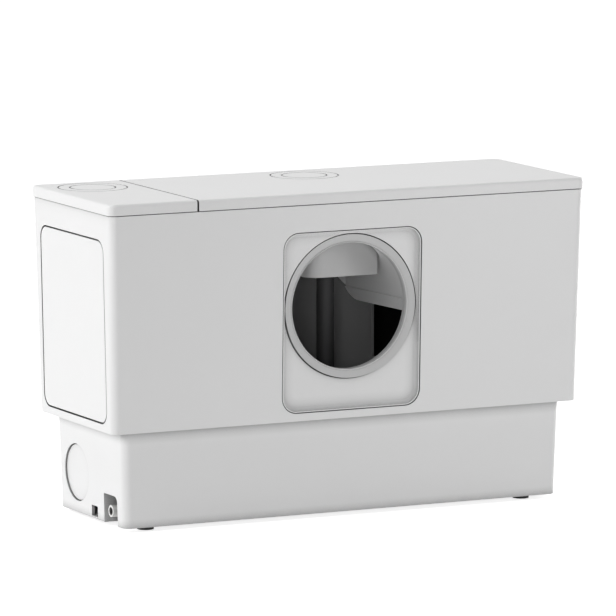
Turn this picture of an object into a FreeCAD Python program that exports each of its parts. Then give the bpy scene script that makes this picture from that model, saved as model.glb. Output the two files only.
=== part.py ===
import FreeCAD, Part
import math
import os

# Sewage lifting station, in millimetres.
# X runs to the right seen from the front, -Y is the front, Z is up.
# The origin is under the middle of the station, on the surface that its feet stand on.

# Casing: overall sizes and the two drafted shells
WIDTH = 474.0
DEPTH = 171.0
HEIGHT = 295.0
LID_HEIGHT = 10.5
LID_OVERHANG = 1.3
WALL = 3.0
CORNER = 7.0
SPLIT_Z = 90.5
UPPER_DRAFT_X = 0.0199
UPPER_DRAFT_Y = 0.0275
LOWER_SET_IN_X = 18.5
LOWER_SET_IN_Y = 12.9
LOWER_DRAFT_X = 0.026
LOWER_DRAFT_Y = 0.031
FOOT_HEIGHT = 4.0
TONGUE = 1.5
FIT = 0.3
LEAST_CORNER = 1.0

# Lids: seam, shadow gap, locating rim and round score lines
SERVICE_LID_LENGTH = 86.0
SEAM_GAP = 1.7
LID_EDGE = 2.5
SHADOW_GAP = 0.7
SHADOW_DEPTH = 1.6
LID_RIM = 2.0
LID_RIM_DROP = 5.0
LID_RIM_CLEAR = 0.5
BAR_WIDTH = 14.0
BAR_HEIGHT = 8.0
SCORE_FROM_BACK = 41.8
SERVICE_SCORE_FROM_END = 42.5
MAIN_SCORE_X = 16.2
SCORE_RADII = (20.5, 31.0)
SCORE_WIDTH = 1.2
SCORE_DEPTH = 1.0

# Front recess and the port in it
RECESS_X = 2.0
RECESS_MARGIN = 4.25
RECESS_LIFT = 7.0
RECESS_TOP_GAP = 24.0
RECESS_CORNER = 15.0
RECESS_DEPTH = 5.0
RECESS_FILLET = 3.0
RECESS_LIP = 1.0
RECESS_LIP_SINK = 0.5
RECESS_GROOVE = 0.8
RECESS_GROOVE_DEPTH = 3.0
PORT_X = 2.0
PORT_BORE = 114.0
COLLAR_WIDTH = 7.75
COLLAR_GAP = 1.0
COLLAR_SINK = 4.0
COLLAR_DISH = 2.0
COLLAR_DEPTH = 9.2
COLLAR_TUBE = 3.0
SEAL_WIDTH = 1.2
SEAL_DEPTH = 3.0

# Cover in the left wall
COVER_MARGIN = 18.5
COVER_LIFT = 8.1
COVER_TOP_GAP = 24.0
COVER_CORNER = 11.0
COVER_GAP = 1.3
COVER_EDGE = 0.8
LEDGE = 5.0
LEDGE_THICK = 2.0
TAB_WIDTH = 14.0
TAB_REACH = 8.0
TAB_INSET = 1.0

# Low on the left wall: round plug, slot and corner pocket with the cable gland
PLUG_Y = 30.2
PLUG_Z = 40.6
PLUG_RADIUS = 26.0
PLUG_SINK = 1.5
PLUG_THICK = 2.0
PLUG_GAP = 0.8
PLUG_LEDGE = 3.2
PLUG_COLLAR = 2.5
PLUG_RIM_DEPTH = 6.0
SLOT_Y = -6.5
SLOT_WIDTH = 13.0
SLOT_Z = 6.0
SLOT_HEIGHT = 9.7
POCKET_FROM_FRONT = 31.4
POCKET_WIDTH = 28.5
POCKET_TOP = 30.6
POCKET_CORNER = 6.0
POCKET_BACK_CORNER = 1.0
POCKET_DEPTH = 21.5
POCKET_WALL = 2.5
GLAND_ASIDE = 2.1
GLAND_Z = 15.7
GLAND_RADIUS = 5.4
GLAND_BORE = 3.6
GLAND_SET_BACK = 3.0
GLAND_THREAD = 4.7
GLAND_TAIL = 5.0
NUT_RADIUS = 7.0
NUT_THICK = 3.0

# Feet
FOOT_INSET_X = 30.0
FOOT_INSET_Y = 19.1
FOOT_RADIUS = 7.5
FOOT_STEM = 2.5
STEM_CLEAR = 0.1

# Tank: lower shell in the lower casing, wider upper shell above it
BAY_LENGTH = 104.5
TANK_END_GAP = 11.5
TANK_SIDE_GAP = 7.1
TANK_FRONT_GAP = 14.0
TANK_BACK_GAP = 9.5
TANK_TOP_GAP = 22.5
TANK_WALL = 3.0
TANK_CORNER = 12.0
STEP_CLEAR = 18.3
STEP_DROP = 47.0
TANK_FLANGE_LIFT = 0.5
FLANGE_REACH = 12.0
FLANGE_LAP = 4.5
FLANGE_THICK = 3.0
GASKET_THICK = 1.5
FLANGE_SCREW_SPACING = 45.0

# Screws
SCREW_SHANK = 1.9
SCREW_HOLE = 2.1
SCREW_HEAD = 3.8
SCREW_HEAD_HEIGHT = 2.6
SOCKET_RADIUS = 1.5
SOCKET_DEPTH = 1.4

# Chute behind the port: an arch on two legs, narrowing towards the back, where the legs' edges rise
CHUTE_MARGIN = 8.5
CHUTE_IN_BASKET = 4.0
CHUTE_BACK_GAP = 34.0
CHUTE_WALL = 2.2
CHUTE_LEG = 10.3
CHUTE_BAND_HEIGHT = 10.6
CHUTE_BAND = 1.8
CHUTE_RISE_RUN = 25.0
CHUTE_RISE_RADIUS = 34.0
CHUTE_TAIL_GAP = 0.8

# Motor pod that hangs from the tank's roof into the chute
POD_LEFT = -18.0
POD_RIGHT = 52.0
POD_FRONT_GAP = 36.5
POD_BACK_GAP = 36.0
POD_DROP = 50.5
POD_WALL = 2.5
POD_FLOOR = 3.0
POD_ROUND = 14.0
POD_EDGE = 2.0
POD_CLEAR = 1.5
POD_FLANGE = 9.0
CAP_HEIGHT = 18.0
SHAFT_RADIUS = 5.0
RUN_CLEAR = 0.05
BEARING_RADIUS = 13.0
BEARING_WIDTH = 8.0
BEARING_WALL = 2.5
RACE = 2.2
SHIELD_SINK = 0.5
SEAL_RADIUS = 10.0
STATOR_WALL = 14.7
AIR_GAP = 0.5
STACK_LIFT = 18.5
STACK_HEIGHT = 32.0
WINDING_HEIGHT = 7.0
WINDING_INSET = 2.5
SLEEVE_WALL = 3.0

# Basket, cutter and pump under the motor
BASKET_GAP = 13.75
BASKET_FOOT_TAPER = 12.0
BASKET_WAIST_TAPER = 6.0
BASKET_WAIST_DROP = 3.5
BASKET_SHOULDER_RISE = 10.5
BASKET_TOP_GAP = 3.5
BASKET_WALL = 2.5
BASKET_LIP_DROP = 63.0
BASKET_WRAP = 20.2
BASKET_SLOTS = 24
BASKET_SLOT_WIDTH = 4.0
BASKET_SLOT_LIFT = 9.5
BASKET_SLOT_HEIGHT = 28.0
PUMP_LEG_LENGTH = 6.0
PUMP_HEIGHT = 32.0
PUMP_RADIUS = 37.0
PUMP_CAVITY = 31.0
PUMP_PLATE = 3.0
PUMP_LEG = 4.0
PUMP_LEG_INSET = 1.0
PUMP_LEG_TURN = 30.0
PUMP_LEGS = 3
SUCTION_RADIUS = 14.0
OUTLET_Y = -25.0
OUTLET_LIFT = 17.0
PIPE_RADIUS = 14.0
PIPE_WALL = 2.5
IMPELLER_RADIUS = 28.0
IMPELLER_PLATE = 3.0
IMPELLER_CLEAR = 1.5
VANE_COUNT = 6
VANE_TURN = 25.0
VANE_HEIGHT = 14.0
VANE_THICK = 2.5
HUB_RADIUS = 9.0
CUTTER_LIFT = 4.0
CUTTER_THICK = 3.0
CUTTER_REACH = 42.0
CUTTER_WIDTH = 14.0
CUTTER_HUB_HEIGHT = 12.0
CUTTER_BLADES = 4
END_NUT_RADIUS = 8.0
END_NUT_HEIGHT = 5.0

# Discharge: elbow, check valve and hose in the left bay
RISER_FROM_END = 56.5
ELBOW_RADIUS = 24.0
SOCKET_WALL = 2.5
VALVE_RADIUS = 26.0
VALVE_WALL = 3.0
VALVE_BOTTOM = 84.0
VALVE_HEIGHT = 56.0
VALVE_NECK = 10.0
FLAP_RADIUS = 15.0
FLAP_THICK = 2.5
FLAP_PIN_OFFSET = 17.5
PIN_RADIUS = 1.5
PIN_LENGTH = 16.0
BARREL_RADIUS = 2.8
EAR_WIDTH = 3.0
HOSE_TOP_GAP = 12.5
HOSE_LOWER_RUN = 56.0
HOSE_UPPER_RUN = 50.0
HOSE_BEND = 28.0
CLIP_WIDTH = 9.0
CLIP_THICK = 1.0
CLIP_SCREW = 3.0
CLIP_SCREW_REACH = 6.0

# Side inlet behind the round plug
INLET_BORE = 20.2
INLET_WALL = 2.3
INLET_SET_BACK = 13.5
INLET_COLLAR = 5.0
INLET_COLLAR_THICK = 3.0
INLET_FLAP_RADIUS = 21.5
INLET_FLAP_THICK = 2.5
INLET_PIN_RISE = 25.5

# Level sensing: bell in the sump, air hose and pressure switch
BELL_TO_SWITCH = 40.0
BELL_BACK_GAP = 29.0
BELL_RADIUS = 11.0
BELL_WALL = 2.0
BELL_MOUTH_LIFT = 12.0
BELL_FLANGE = 4.0
BARB_RADIUS = 2.5
BARB_BORE = 1.2
BARB_HEIGHT = 9.0
AIR_HOSE_WALL = 1.2
AIR_HOSE_RISE = 27.0
AIR_HOSE_BEND_SHARE = 0.4
SWITCH_END_GAP = 25.0
SWITCH_RADIUS = 17.0
SWITCH_LIFT = 3.0
SWITCH_HEIGHT = 16.0
SWITCH_WALL = 2.0
SWITCH_FOOT = 8.5
SWITCH_BARB = 10.5
PLUNGER_RADIUS = 2.0
PLUNGER_HEAD = 5.0
PLUNGER_HEAD_THICK = 1.5
PLUNGER_STICK_OUT = 3.0
PLUNGER_TRAVEL = 2.0
SPRING_WIRE = 0.8
MICRO_WIDTH = 7.0
MICRO_LENGTH = 20.0
MICRO_HEIGHT = 10.0
LUG = 1.0
LUG_HEIGHT = 4.0

# Controls above the low part of the tank
TRAY_STEP_GAP = 8.0
TRAY_END_GAP = 15.0
TRAY_FRONT_GAP = 7.5
TRAY_WIDTH = 74.0
TRAY_HEIGHT = 46.0
TRAY_WALL = 2.0
TRAY_CORNER = 4.0
BOARD_LIFT = 6.0
BOARD_THICK = 1.6
BOARD_INSET = 3.0
BOARD_SCREW = 3.0
POST_RADIUS = 3.5
POST_INSET = 8.0
CAPACITOR_RADIUS = 12.5
CAPACITOR_LENGTH = 58.0
CAPACITOR_EDGE = 1.5
TERMINAL_LENGTH = 40.0
TERMINAL_WIDTH = 14.0
TERMINAL_HEIGHT = 15.0
TERMINAL_WAYS = 5
COVER_SCREW = 8.0

# Vent on the tank's roof
VENT_END_GAP = 40.0
VENT_BACK_GAP = 36.0
VENT_RADIUS = 19.0
VENT_HEIGHT = 18.0
VENT_WALL = 2.0
VENT_HOLE = 8.0
FILTER_HEIGHT = 11.0
VENT_SLOTS = 5
VENT_SLOT_WIDTH = 2.5

# Casing faces that follow from the sizes above
CASING_TOP = HEIGHT - LID_HEIGHT
CASING_WIDTH = WIDTH - 2 * LID_OVERHANG
CASING_FLOOR = FOOT_HEIGHT + WALL
LOWER_WIDTH = WIDTH - 2 * LOWER_SET_IN_X
LOWER_DEPTH = DEPTH - 2 * LOWER_SET_IN_Y
SEAM_X = SERVICE_LID_LENGTH - WIDTH / 2
SERVICE_SCORE_X = SERVICE_SCORE_FROM_END - WIDTH / 2
SCORE_Y = DEPTH / 2 - SCORE_FROM_BACK
COVER_WIDTH = DEPTH - 2 * COVER_MARGIN
COVER_Z = SPLIT_Z + COVER_LIFT
COVER_HEIGHT = CASING_TOP - COVER_TOP_GAP - COVER_Z
POCKET_Y = POCKET_FROM_FRONT - LOWER_DEPTH / 2
POCKET_FLOOR_X = POCKET_DEPTH - LOWER_WIDTH / 2
GLAND_Y = POCKET_Y + GLAND_ASIDE
GLAND_MOUTH_X = GLAND_SET_BACK - LOWER_WIDTH / 2
FOOT_X = LOWER_WIDTH / 2 - FOOT_INSET_X
FOOT_Y = LOWER_DEPTH / 2 - FOOT_INSET_Y

# Tank faces
TANK_LEFT = BAY_LENGTH - LOWER_WIDTH / 2
TANK_RIGHT = LOWER_WIDTH / 2 - TANK_END_GAP
TANK_HALF_DEPTH = LOWER_DEPTH / 2 - TANK_SIDE_GAP
TANK_FRONT = TANK_FRONT_GAP - DEPTH / 2
TANK_BACK = DEPTH / 2 - TANK_BACK_GAP
TANK_TOP = CASING_TOP - TANK_TOP_GAP
TANK_FLOOR = CASING_FLOOR + TANK_WALL
FLANGE_HALF_DEPTH = TANK_HALF_DEPTH + FLANGE_LAP
FLANGE_Z = SPLIT_Z + WALL + TANK_FLANGE_LIFT
GASKET_Z = FLANGE_Z + FLANGE_THICK
UPPER_FLANGE_Z = GASKET_Z + GASKET_THICK
UPPER_FLOOR_TOP = UPPER_FLANGE_Z + FLANGE_THICK

# Port, recess and chute: the chute's crown fits under the tank's roof, and the port lies on its axis
PORT_RADIUS = PORT_BORE / 2
COLLAR_RADIUS = PORT_RADIUS + COLLAR_WIDTH
CHUTE_FRONT_HALF = PORT_RADIUS + CHUTE_MARGIN
PORT_Z = TANK_TOP - TANK_WALL - FIT - CHUTE_WALL - CHUTE_FRONT_HALF
PORT_FACE_Y = (CASING_TOP - PORT_Z) * UPPER_DRAFT_Y - DEPTH / 2
COLLAR_FRONT_Y = PORT_FACE_Y + COLLAR_SINK
BORE_FRONT_Y = COLLAR_FRONT_Y + COLLAR_DISH
COLLAR_BACK_Y = COLLAR_FRONT_Y + COLLAR_DEPTH
RECESS_WIDTH = 2 * (COLLAR_RADIUS + RECESS_MARGIN)
RECESS_Z = SPLIT_Z + RECESS_LIFT
RECESS_HEIGHT = CASING_TOP - RECESS_TOP_GAP - RECESS_Z
CHUTE_BACK_Y = TANK_BACK - CHUTE_BACK_GAP
CHUTE_LEG_Z = PORT_Z - CHUTE_LEG
CHUTE_BAND_Z = CHUTE_LEG_Z + CHUTE_BAND_HEIGHT
CHUTE_RISE_Y = CHUTE_BACK_Y - CHUTE_RISE_RUN
STEP_X = PORT_X + CHUTE_FRONT_HALF + CHUTE_WALL + STEP_CLEAR
STEP_TOP = TANK_TOP - STEP_DROP

# Motor
POD_FRONT = TANK_FRONT + POD_FRONT_GAP
POD_BACK = TANK_BACK - POD_BACK_GAP
POD_BOTTOM = TANK_TOP - POD_DROP
POD_FLANGE_Z = TANK_TOP
CAP_FLANGE_Z = POD_FLANGE_Z + FLANGE_THICK
CAP_TOP = TANK_TOP + CAP_HEIGHT
POD_INNER_FLOOR = POD_BOTTOM + POD_FLOOR
STACK_Z = POD_BOTTOM + STACK_LIFT
SHAFT_X = (POD_LEFT + POD_RIGHT) / 2
SHAFT_Y = (POD_FRONT + POD_BACK) / 2
STATOR_RADIUS = min(POD_RIGHT - POD_LEFT, POD_BACK - POD_FRONT) / 2 - POD_WALL - FIT
STATOR_BORE = STATOR_RADIUS - STATOR_WALL
LOWER_BEARING_Z = POD_INNER_FLOOR + POD_FLOOR
UPPER_BEARING_Z = CAP_TOP - POD_FLOOR - BEARING_WIDTH
SHAFT_TOP = UPPER_BEARING_Z + BEARING_WIDTH

# Pump, basket and cutter
PUMP_BOTTOM = TANK_FLOOR + PUMP_LEG_LENGTH
PUMP_TOP = PUMP_BOTTOM + PUMP_HEIGHT
OUTLET_Z = PUMP_BOTTOM + OUTLET_LIFT
BASKET_FLOOR = PUMP_TOP + BASKET_WALL
BASKET_RADIUS = (TANK_BACK - TANK_FRONT) / 2 - BASKET_GAP
BASKET_FOOT_RADIUS = BASKET_RADIUS - BASKET_FOOT_TAPER
BASKET_WAIST_RADIUS = BASKET_RADIUS - BASKET_WAIST_TAPER
BASKET_WAIST_Z = UPPER_FLOOR_TOP - BASKET_WAIST_DROP
BASKET_SHOULDER_Z = UPPER_FLOOR_TOP + BASKET_SHOULDER_RISE
BASKET_TOP = POD_BOTTOM - BASKET_TOP_GAP
BASKET_LIP_Z = PORT_Z - BASKET_LIP_DROP
BASKET_CUT_Y = CHUTE_BACK_Y - BASKET_WRAP
BASKET_SLOT_Z = BASKET_FLOOR + BASKET_SLOT_LIFT
CHUTE_BACK_HALF = BASKET_RADIUS - CHUTE_IN_BASKET
CUTTER_Z = BASKET_FLOOR + CUTTER_LIFT
CUTTER_TOP = CUTTER_Z + CUTTER_HUB_HEIGHT
CAVITY_FLOOR = PUMP_BOTTOM + PUMP_PLATE
IMPELLER_Z = CAVITY_FLOOR + IMPELLER_CLEAR
IMPELLER_TOP = IMPELLER_Z + VANE_HEIGHT + IMPELLER_PLATE
END_NUT_Z = IMPELLER_Z + VANE_HEIGHT - END_NUT_HEIGHT

# Discharge and side inlet
RISER_X = RISER_FROM_END - LOWER_WIDTH / 2
VALVE_TOP = VALVE_BOTTOM + VALVE_HEIGHT
SEAT_Z = VALVE_BOTTOM + VALVE_NECK
FLAP_PIN_Z = SEAT_Z + FIT + BARREL_RADIUS
FLAP_PIN_Y = OUTLET_Y + FLAP_PIN_OFFSET
HOSE_TOP = CASING_TOP - HOSE_TOP_GAP
HOSE_LOWER_BEND = VALVE_TOP + HOSE_LOWER_RUN
HOSE_UPPER_BEND = HOSE_TOP - HOSE_UPPER_RUN
INLET_RADIUS = INLET_BORE + INLET_WALL
INLET_MOUTH_X = INLET_SET_BACK - LOWER_WIDTH / 2
INLET_SEAT_X = TANK_LEFT + TANK_WALL + INLET_COLLAR_THICK
INLET_PIN_Z = PLUG_Z + INLET_PIN_RISE
INLET_PIN_X = INLET_SEAT_X + FIT + BARREL_RADIUS

# Level sensing, controls and vent
SWITCH_X = TANK_RIGHT - SWITCH_END_GAP
SWITCH_Z = STEP_TOP + SWITCH_LIFT
SWITCH_TOP = SWITCH_Z + SWITCH_HEIGHT
MICRO_Z = SWITCH_TOP + PLUNGER_STICK_OUT + PLUNGER_TRAVEL + FIT
BELL_X = SWITCH_X - BELL_TO_SWITCH
BELL_Y = TANK_BACK - BELL_BACK_GAP
BELL_MOUTH_Z = TANK_FLOOR + BELL_MOUTH_LIFT
TRAY_LEFT = STEP_X + TRAY_STEP_GAP
TRAY_LENGTH = TANK_RIGHT - TRAY_END_GAP - TRAY_LEFT
TRAY_FRONT = TANK_FRONT + TRAY_FRONT_GAP
TRAY_FLOOR = STEP_TOP + TRAY_WALL
BOARD_Z = TRAY_FLOOR + BOARD_LIFT
VENT_X = TANK_LEFT + VENT_END_GAP
VENT_Y = TANK_BACK - VENT_BACK_GAP
FAR = 2 * WIDTH
TOUCH = 0.01


def at(x, y, z):
    return FreeCAD.Vector(x, y, z)


def block(x0, x1, y0, y1, z0, z1):
    return Part.makeBox(x1 - x0, y1 - y0, z1 - z0, at(x0, y0, z0))


def post(radius, x, y, z0, z1):
    return Part.makeCylinder(radius, z1 - z0, at(x, y, z0))


def rod(radius, start, end):
    return Part.makeCylinder(radius, start.distanceToPoint(end), start, end - start)


def tube(radius, bore, start, end):
    return rod(radius, start, end).cut(rod(bore, start, end))


def rounded_face(centre_u, centre_v, width, height, corner):
    """A flat rectangle with rounded corners in the XY plane."""
    u0, u1 = centre_u - width / 2, centre_u + width / 2
    v0, v1 = centre_v - height / 2, centre_v + height / 2
    reach = corner * (1 - math.sqrt(0.5))
    corners = ((u1, v0, 1, -1), (u1, v1, 1, 1), (u0, v1, -1, 1), (u0, v0, -1, -1))
    edges = []
    last = None
    for u, v, su, sv in corners:
        along_u = at(u - su * corner, v, 0)
        along_v = at(u, v - sv * corner, 0)
        middle = at(u - su * reach, v - sv * reach, 0)
        start, end = (along_u, along_v) if su * sv < 0 else (along_v, along_u)
        if last is not None:
            edges.append(Part.LineSegment(last, start).toShape())
        else:
            first = start
        edges.append(Part.Arc(start, middle, end).toShape())
        last = end
    edges.append(Part.LineSegment(last, first).toShape())
    return Part.Face(Part.Wire(edges))


def rounded_block(x0, x1, y0, y1, z0, z1, corner):
    face = rounded_face((x0 + x1) / 2, (y0 + y1) / 2, x1 - x0, y1 - y0, corner)
    face.translate(at(0, 0, z0))
    return face.extrude(at(0, 0, z1 - z0))


def front_prism(x, z, width, height, corner, y0, y1):
    """A rounded rectangle seen from the front, run along Y."""
    face = rounded_face(x, z, width, height, corner)
    face.rotate(at(0, 0, 0), at(1, 0, 0), 90)
    face.translate(at(0, y0, 0))
    return face.extrude(at(0, y1 - y0, 0))


def side_prism(y, z, width, height, corner, x0, x1):
    """A rounded rectangle seen from the side, run along X."""
    face = rounded_face(y, z, width, height, corner)
    face.rotate(at(0, 0, 0), at(1, 0, 0), 90)
    face.rotate(at(0, 0, 0), at(0, 0, 1), 90)
    face.translate(at(x0, 0, 0))
    return face.extrude(at(x1 - x0, 0, 0))


def drafted(width, depth, level, draft_x, draft_y, inset, z0, z1, corner):
    """A block whose walls lean in going down, as wide as stated at one level."""
    rings = []
    for z in (z0, z1):
        hx = width / 2 - (level - z) * draft_x - inset
        hy = depth / 2 - (level - z) * draft_y - inset
        rings.append([at(-hx, -hy, z), at(hx, -hy, z), at(hx, hy, z), at(-hx, hy, z)])
    low, high = rings
    quads = [low[::-1], high]
    for i in range(4):
        j = (i + 1) % 4
        quads.append([low[i], low[j], high[j], high[i]])
    faces = [Part.Face(Part.makePolygon(quad + quad[:1])) for quad in quads]
    solid = Part.Solid(Part.Shell(faces))
    upright = [e for e in solid.Edges if abs(e.Vertexes[0].Z - e.Vertexes[1].Z) > (z1 - z0) / 2]
    return solid.makeFillet(max(corner - inset, LEAST_CORNER), upright)


def upper_block(inset, z0, z1):
    return drafted(CASING_WIDTH, DEPTH, CASING_TOP, UPPER_DRAFT_X, UPPER_DRAFT_Y, inset, z0, z1, CORNER)


def lower_block(inset, z0, z1):
    return drafted(LOWER_WIDTH, LOWER_DEPTH, SPLIT_Z, LOWER_DRAFT_X, LOWER_DRAFT_Y, inset, z0, z1, CORNER)


def upper_skin(near, far):
    """The layer of the upper casing's walls between two depths."""
    return upper_block(near, SPLIT_Z, CASING_TOP).cut(upper_block(far, SPLIT_Z, CASING_TOP))


def lower_skin(near, far):
    return lower_block(near, FOOT_HEIGHT, SPLIT_Z).cut(lower_block(far, FOOT_HEIGHT, SPLIT_Z))


def screw(x, y, z, length):
    """A cap screw that hangs from its head's underside at z."""
    body = post(SCREW_HEAD, x, y, z, z + SCREW_HEAD_HEIGHT)
    body = body.fuse(post(SCREW_SHANK, x, y, z - length, z))
    top = z + SCREW_HEAD_HEIGHT
    return body.cut(post(SOCKET_RADIUS, x, y, top - SOCKET_DEPTH, top))


def hexagon(radius, start, end, side):
    """A six-sided bar between two points, with a corner at the radius on the side named."""
    along = end - start
    up = along.cross(side).normalize()
    points = []
    for i in range(7):
        turn = math.radians(60 * i)
        points.append(start + side * (radius * math.cos(turn)) + up * (radius * math.sin(turn)))
    return Part.Face(Part.makePolygon(points)).extrude(along)


def pipe(radius, points, bend):
    """A round bar along straight runs joined by tangent arcs of one radius."""
    edges = []
    start = points[0]
    for before, corner, after in zip(points, points[1:], points[2:]):
        back = (before - corner).normalize()
        ahead = (after - corner).normalize()
        half = back.getAngle(ahead) / 2
        reach = bend / math.tan(half)
        first = corner + back * reach
        last = corner + ahead * reach
        middle_way = (back + ahead).normalize()
        middle = corner + middle_way * (bend / math.sin(half) - bend)
        edges.append(Part.LineSegment(start, first).toShape())
        edges.append(Part.Arc(first, middle, last).toShape())
        start = last
    edges.append(Part.LineSegment(start, points[-1]).toShape())
    spine = Part.Wire(edges)
    ring = Part.Wire(Part.makeCircle(radius, points[0], points[1] - points[0]))
    return spine.makePipeShell([ring], True, True)


def lower_casing():
    body = lower_block(0, FOOT_HEIGHT, SPLIT_Z)
    body = body.cut(lower_block(WALL, CASING_FLOOR, SPLIT_Z + WALL))
    rim = lower_block(WALL - TONGUE, SPLIT_Z - WALL, SPLIT_Z + WALL)
    rim = rim.cut(lower_block(WALL, SPLIT_Z - WALL, SPLIT_Z + WALL))
    body = body.fuse(rim)
    left = at(-WIDTH, PLUG_Y, PLUG_Z)
    right = at(0, PLUG_Y, PLUG_Z)
    ledge_depth = PLUG_SINK + PLUG_THICK + FIT
    collar = rod(PLUG_RADIUS + PLUG_COLLAR, left, right)
    collar = collar.common(lower_skin(0, ledge_depth + LEDGE_THICK))
    body = body.fuse(collar)
    well = rod(PLUG_RADIUS, left, right).cut(lower_block(ledge_depth, FOOT_HEIGHT, SPLIT_Z))
    body = body.cut(well).cut(rod(PLUG_RADIUS - PLUG_LEDGE, left, right))
    lining = pocket_prism(POCKET_WALL)
    body = body.fuse(lining.common(lower_block(0, FOOT_HEIGHT, SPLIT_Z))).cut(pocket_prism(0))
    thread = rod(GLAND_THREAD, at(POCKET_FLOOR_X, GLAND_Y, GLAND_Z),
                 at(POCKET_FLOOR_X + POCKET_WALL, GLAND_Y, GLAND_Z))
    body = body.cut(thread)
    slot = block(-WIDTH, -LOWER_WIDTH / 2 + 2 * WALL, SLOT_Y - SLOT_WIDTH / 2, SLOT_Y + SLOT_WIDTH / 2,
                 SLOT_Z, SLOT_Z + SLOT_HEIGHT)
    body = body.cut(slot)
    for x, y in foot_places():
        body = body.cut(post(FOOT_STEM + STEM_CLEAR, x, y, FOOT_HEIGHT, CASING_FLOOR))
    return body


def pocket_prism(grow):
    """The corner pocket, which runs out below the casing's floor and is rounded towards the front."""
    height = POCKET_TOP + 2 * FOOT_HEIGHT
    middle = POCKET_TOP - height / 2
    body = side_prism(POCKET_Y, middle, POCKET_WIDTH + 2 * grow, height + 2 * grow,
                      POCKET_CORNER + grow, -WIDTH, POCKET_FLOOR_X + grow)
    back = side_prism(POCKET_Y + POCKET_WIDTH / 4, middle, POCKET_WIDTH / 2 + 2 * grow, height + 2 * grow,
                      POCKET_BACK_CORNER + grow, -WIDTH, POCKET_FLOOR_X + grow)
    return body.fuse(back)


def foot_places():
    return [(sx * FOOT_X, sy * FOOT_Y) for sx in (-1, 1) for sy in (-1, 1)]


def rubber_feet():
    feet = []
    for x, y in foot_places():
        pad = post(FOOT_RADIUS, x, y, 0, FOOT_HEIGHT)
        feet.append(pad.fuse(post(FOOT_STEM, x, y, FOOT_HEIGHT, CASING_FLOOR)))
    return Part.makeCompound(feet)


def recess_prism(grow, y0, y1):
    return front_prism(RECESS_X, RECESS_Z + RECESS_HEIGHT / 2, RECESS_WIDTH + 2 * grow,
                       RECESS_HEIGHT + 2 * grow, RECESS_CORNER + grow, y0, y1)


def recess_hollow():
    """The recess inside its lip, with a rounded edge to its floor, and the step down to the lip."""
    hollow = recess_prism(-RECESS_GROOVE - RECESS_LIP, -DEPTH, 0)
    hollow = hollow.cut(upper_block(RECESS_DEPTH, SPLIT_Z, CASING_TOP))
    floor = [e for e in hollow.Edges if abs(front_depth(e) - RECESS_DEPTH) < TOUCH]
    step = recess_prism(-RECESS_GROOVE, -DEPTH, 0).cut(upper_block(RECESS_LIP_SINK, SPLIT_Z, CASING_TOP))
    return hollow.makeFillet(RECESS_FILLET, floor).fuse(step)


def recess_groove():
    """The groove between the recess's lip and the casing's front."""
    ring = recess_prism(0, -DEPTH, 0).cut(recess_prism(-RECESS_GROOVE, -DEPTH, 0))
    return ring.cut(upper_block(RECESS_GROOVE_DEPTH, SPLIT_Z, CASING_TOP))


def front_depth(edge):
    """How far an edge's middle lies behind the front wall's outer face."""
    middle = edge.valueAt((edge.FirstParameter + edge.LastParameter) / 2)
    return middle.y + DEPTH / 2 - (CASING_TOP - middle.z) * UPPER_DRAFT_Y


def cover_prism(grow, x0, x1):
    return side_prism(0, COVER_Z + COVER_HEIGHT / 2, COVER_WIDTH + 2 * grow,
                      COVER_HEIGHT + 2 * grow, COVER_CORNER + grow, x0, x1)


def upper_casing():
    body = upper_block(0, SPLIT_Z, CASING_TOP)
    body = body.cut(upper_block(WALL, SPLIT_Z + WALL, CASING_TOP + WALL))
    body = body.cut(lower_block(WALL - TONGUE - FIT, SPLIT_Z - WALL, SPLIT_Z + 2 * WALL))
    pan = recess_prism(WALL, -DEPTH, 0).common(upper_skin(0, RECESS_DEPTH + WALL))
    body = body.fuse(pan)
    body = body.cut(recess_hollow()).cut(recess_groove())
    body = body.cut(rod(COLLAR_RADIUS + COLLAR_GAP, at(PORT_X, -DEPTH, PORT_Z), at(PORT_X, 0, PORT_Z)))
    ledge_depth = WALL + FIT
    frame = cover_prism(LEDGE, -WIDTH, 0).common(upper_skin(0, ledge_depth + LEDGE_THICK))
    body = body.fuse(frame)
    seat = cover_prism(COVER_GAP, -WIDTH, 0).cut(upper_block(ledge_depth, SPLIT_Z, CASING_TOP))
    body = body.cut(seat).cut(cover_prism(-LEDGE, -WIDTH, 0))
    bar = block(SEAM_X - BAR_WIDTH / 2, SEAM_X + BAR_WIDTH / 2, -DEPTH, DEPTH,
                CASING_TOP - BAR_HEIGHT, CASING_TOP)
    return body.fuse(bar.common(upper_block(WALL / 2, SPLIT_Z, CASING_TOP)))


def side_cover():
    plate = cover_prism(0, -WIDTH, 0).common(upper_skin(0, WALL))
    middle_z = COVER_Z + COVER_HEIGHT / 2
    outer = [e for e in plate.Edges if abs(face_depth(e)) < TOUCH]
    plate = plate.makeFillet(COVER_EDGE, outer)
    reach = COVER_HEIGHT / 2 - LEDGE - TAB_INSET
    for way in (-1, 1):
        edge_z = middle_z + way * reach
        low, high = sorted((edge_z, edge_z - way * LEDGE_THICK))
        tab = block(-WIDTH, 0, -TAB_WIDTH / 2, TAB_WIDTH / 2, low, high)
        plate = plate.fuse(tab.common(upper_skin(WALL / 2, WALL + TAB_REACH)))
    return plate


def face_depth(edge):
    """How far an edge's middle lies behind the left wall's outer face."""
    middle = edge.valueAt((edge.FirstParameter + edge.LastParameter) / 2)
    wall_x = (CASING_TOP - middle.z) * UPPER_DRAFT_X - CASING_WIDTH / 2
    return middle.x - wall_x


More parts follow.
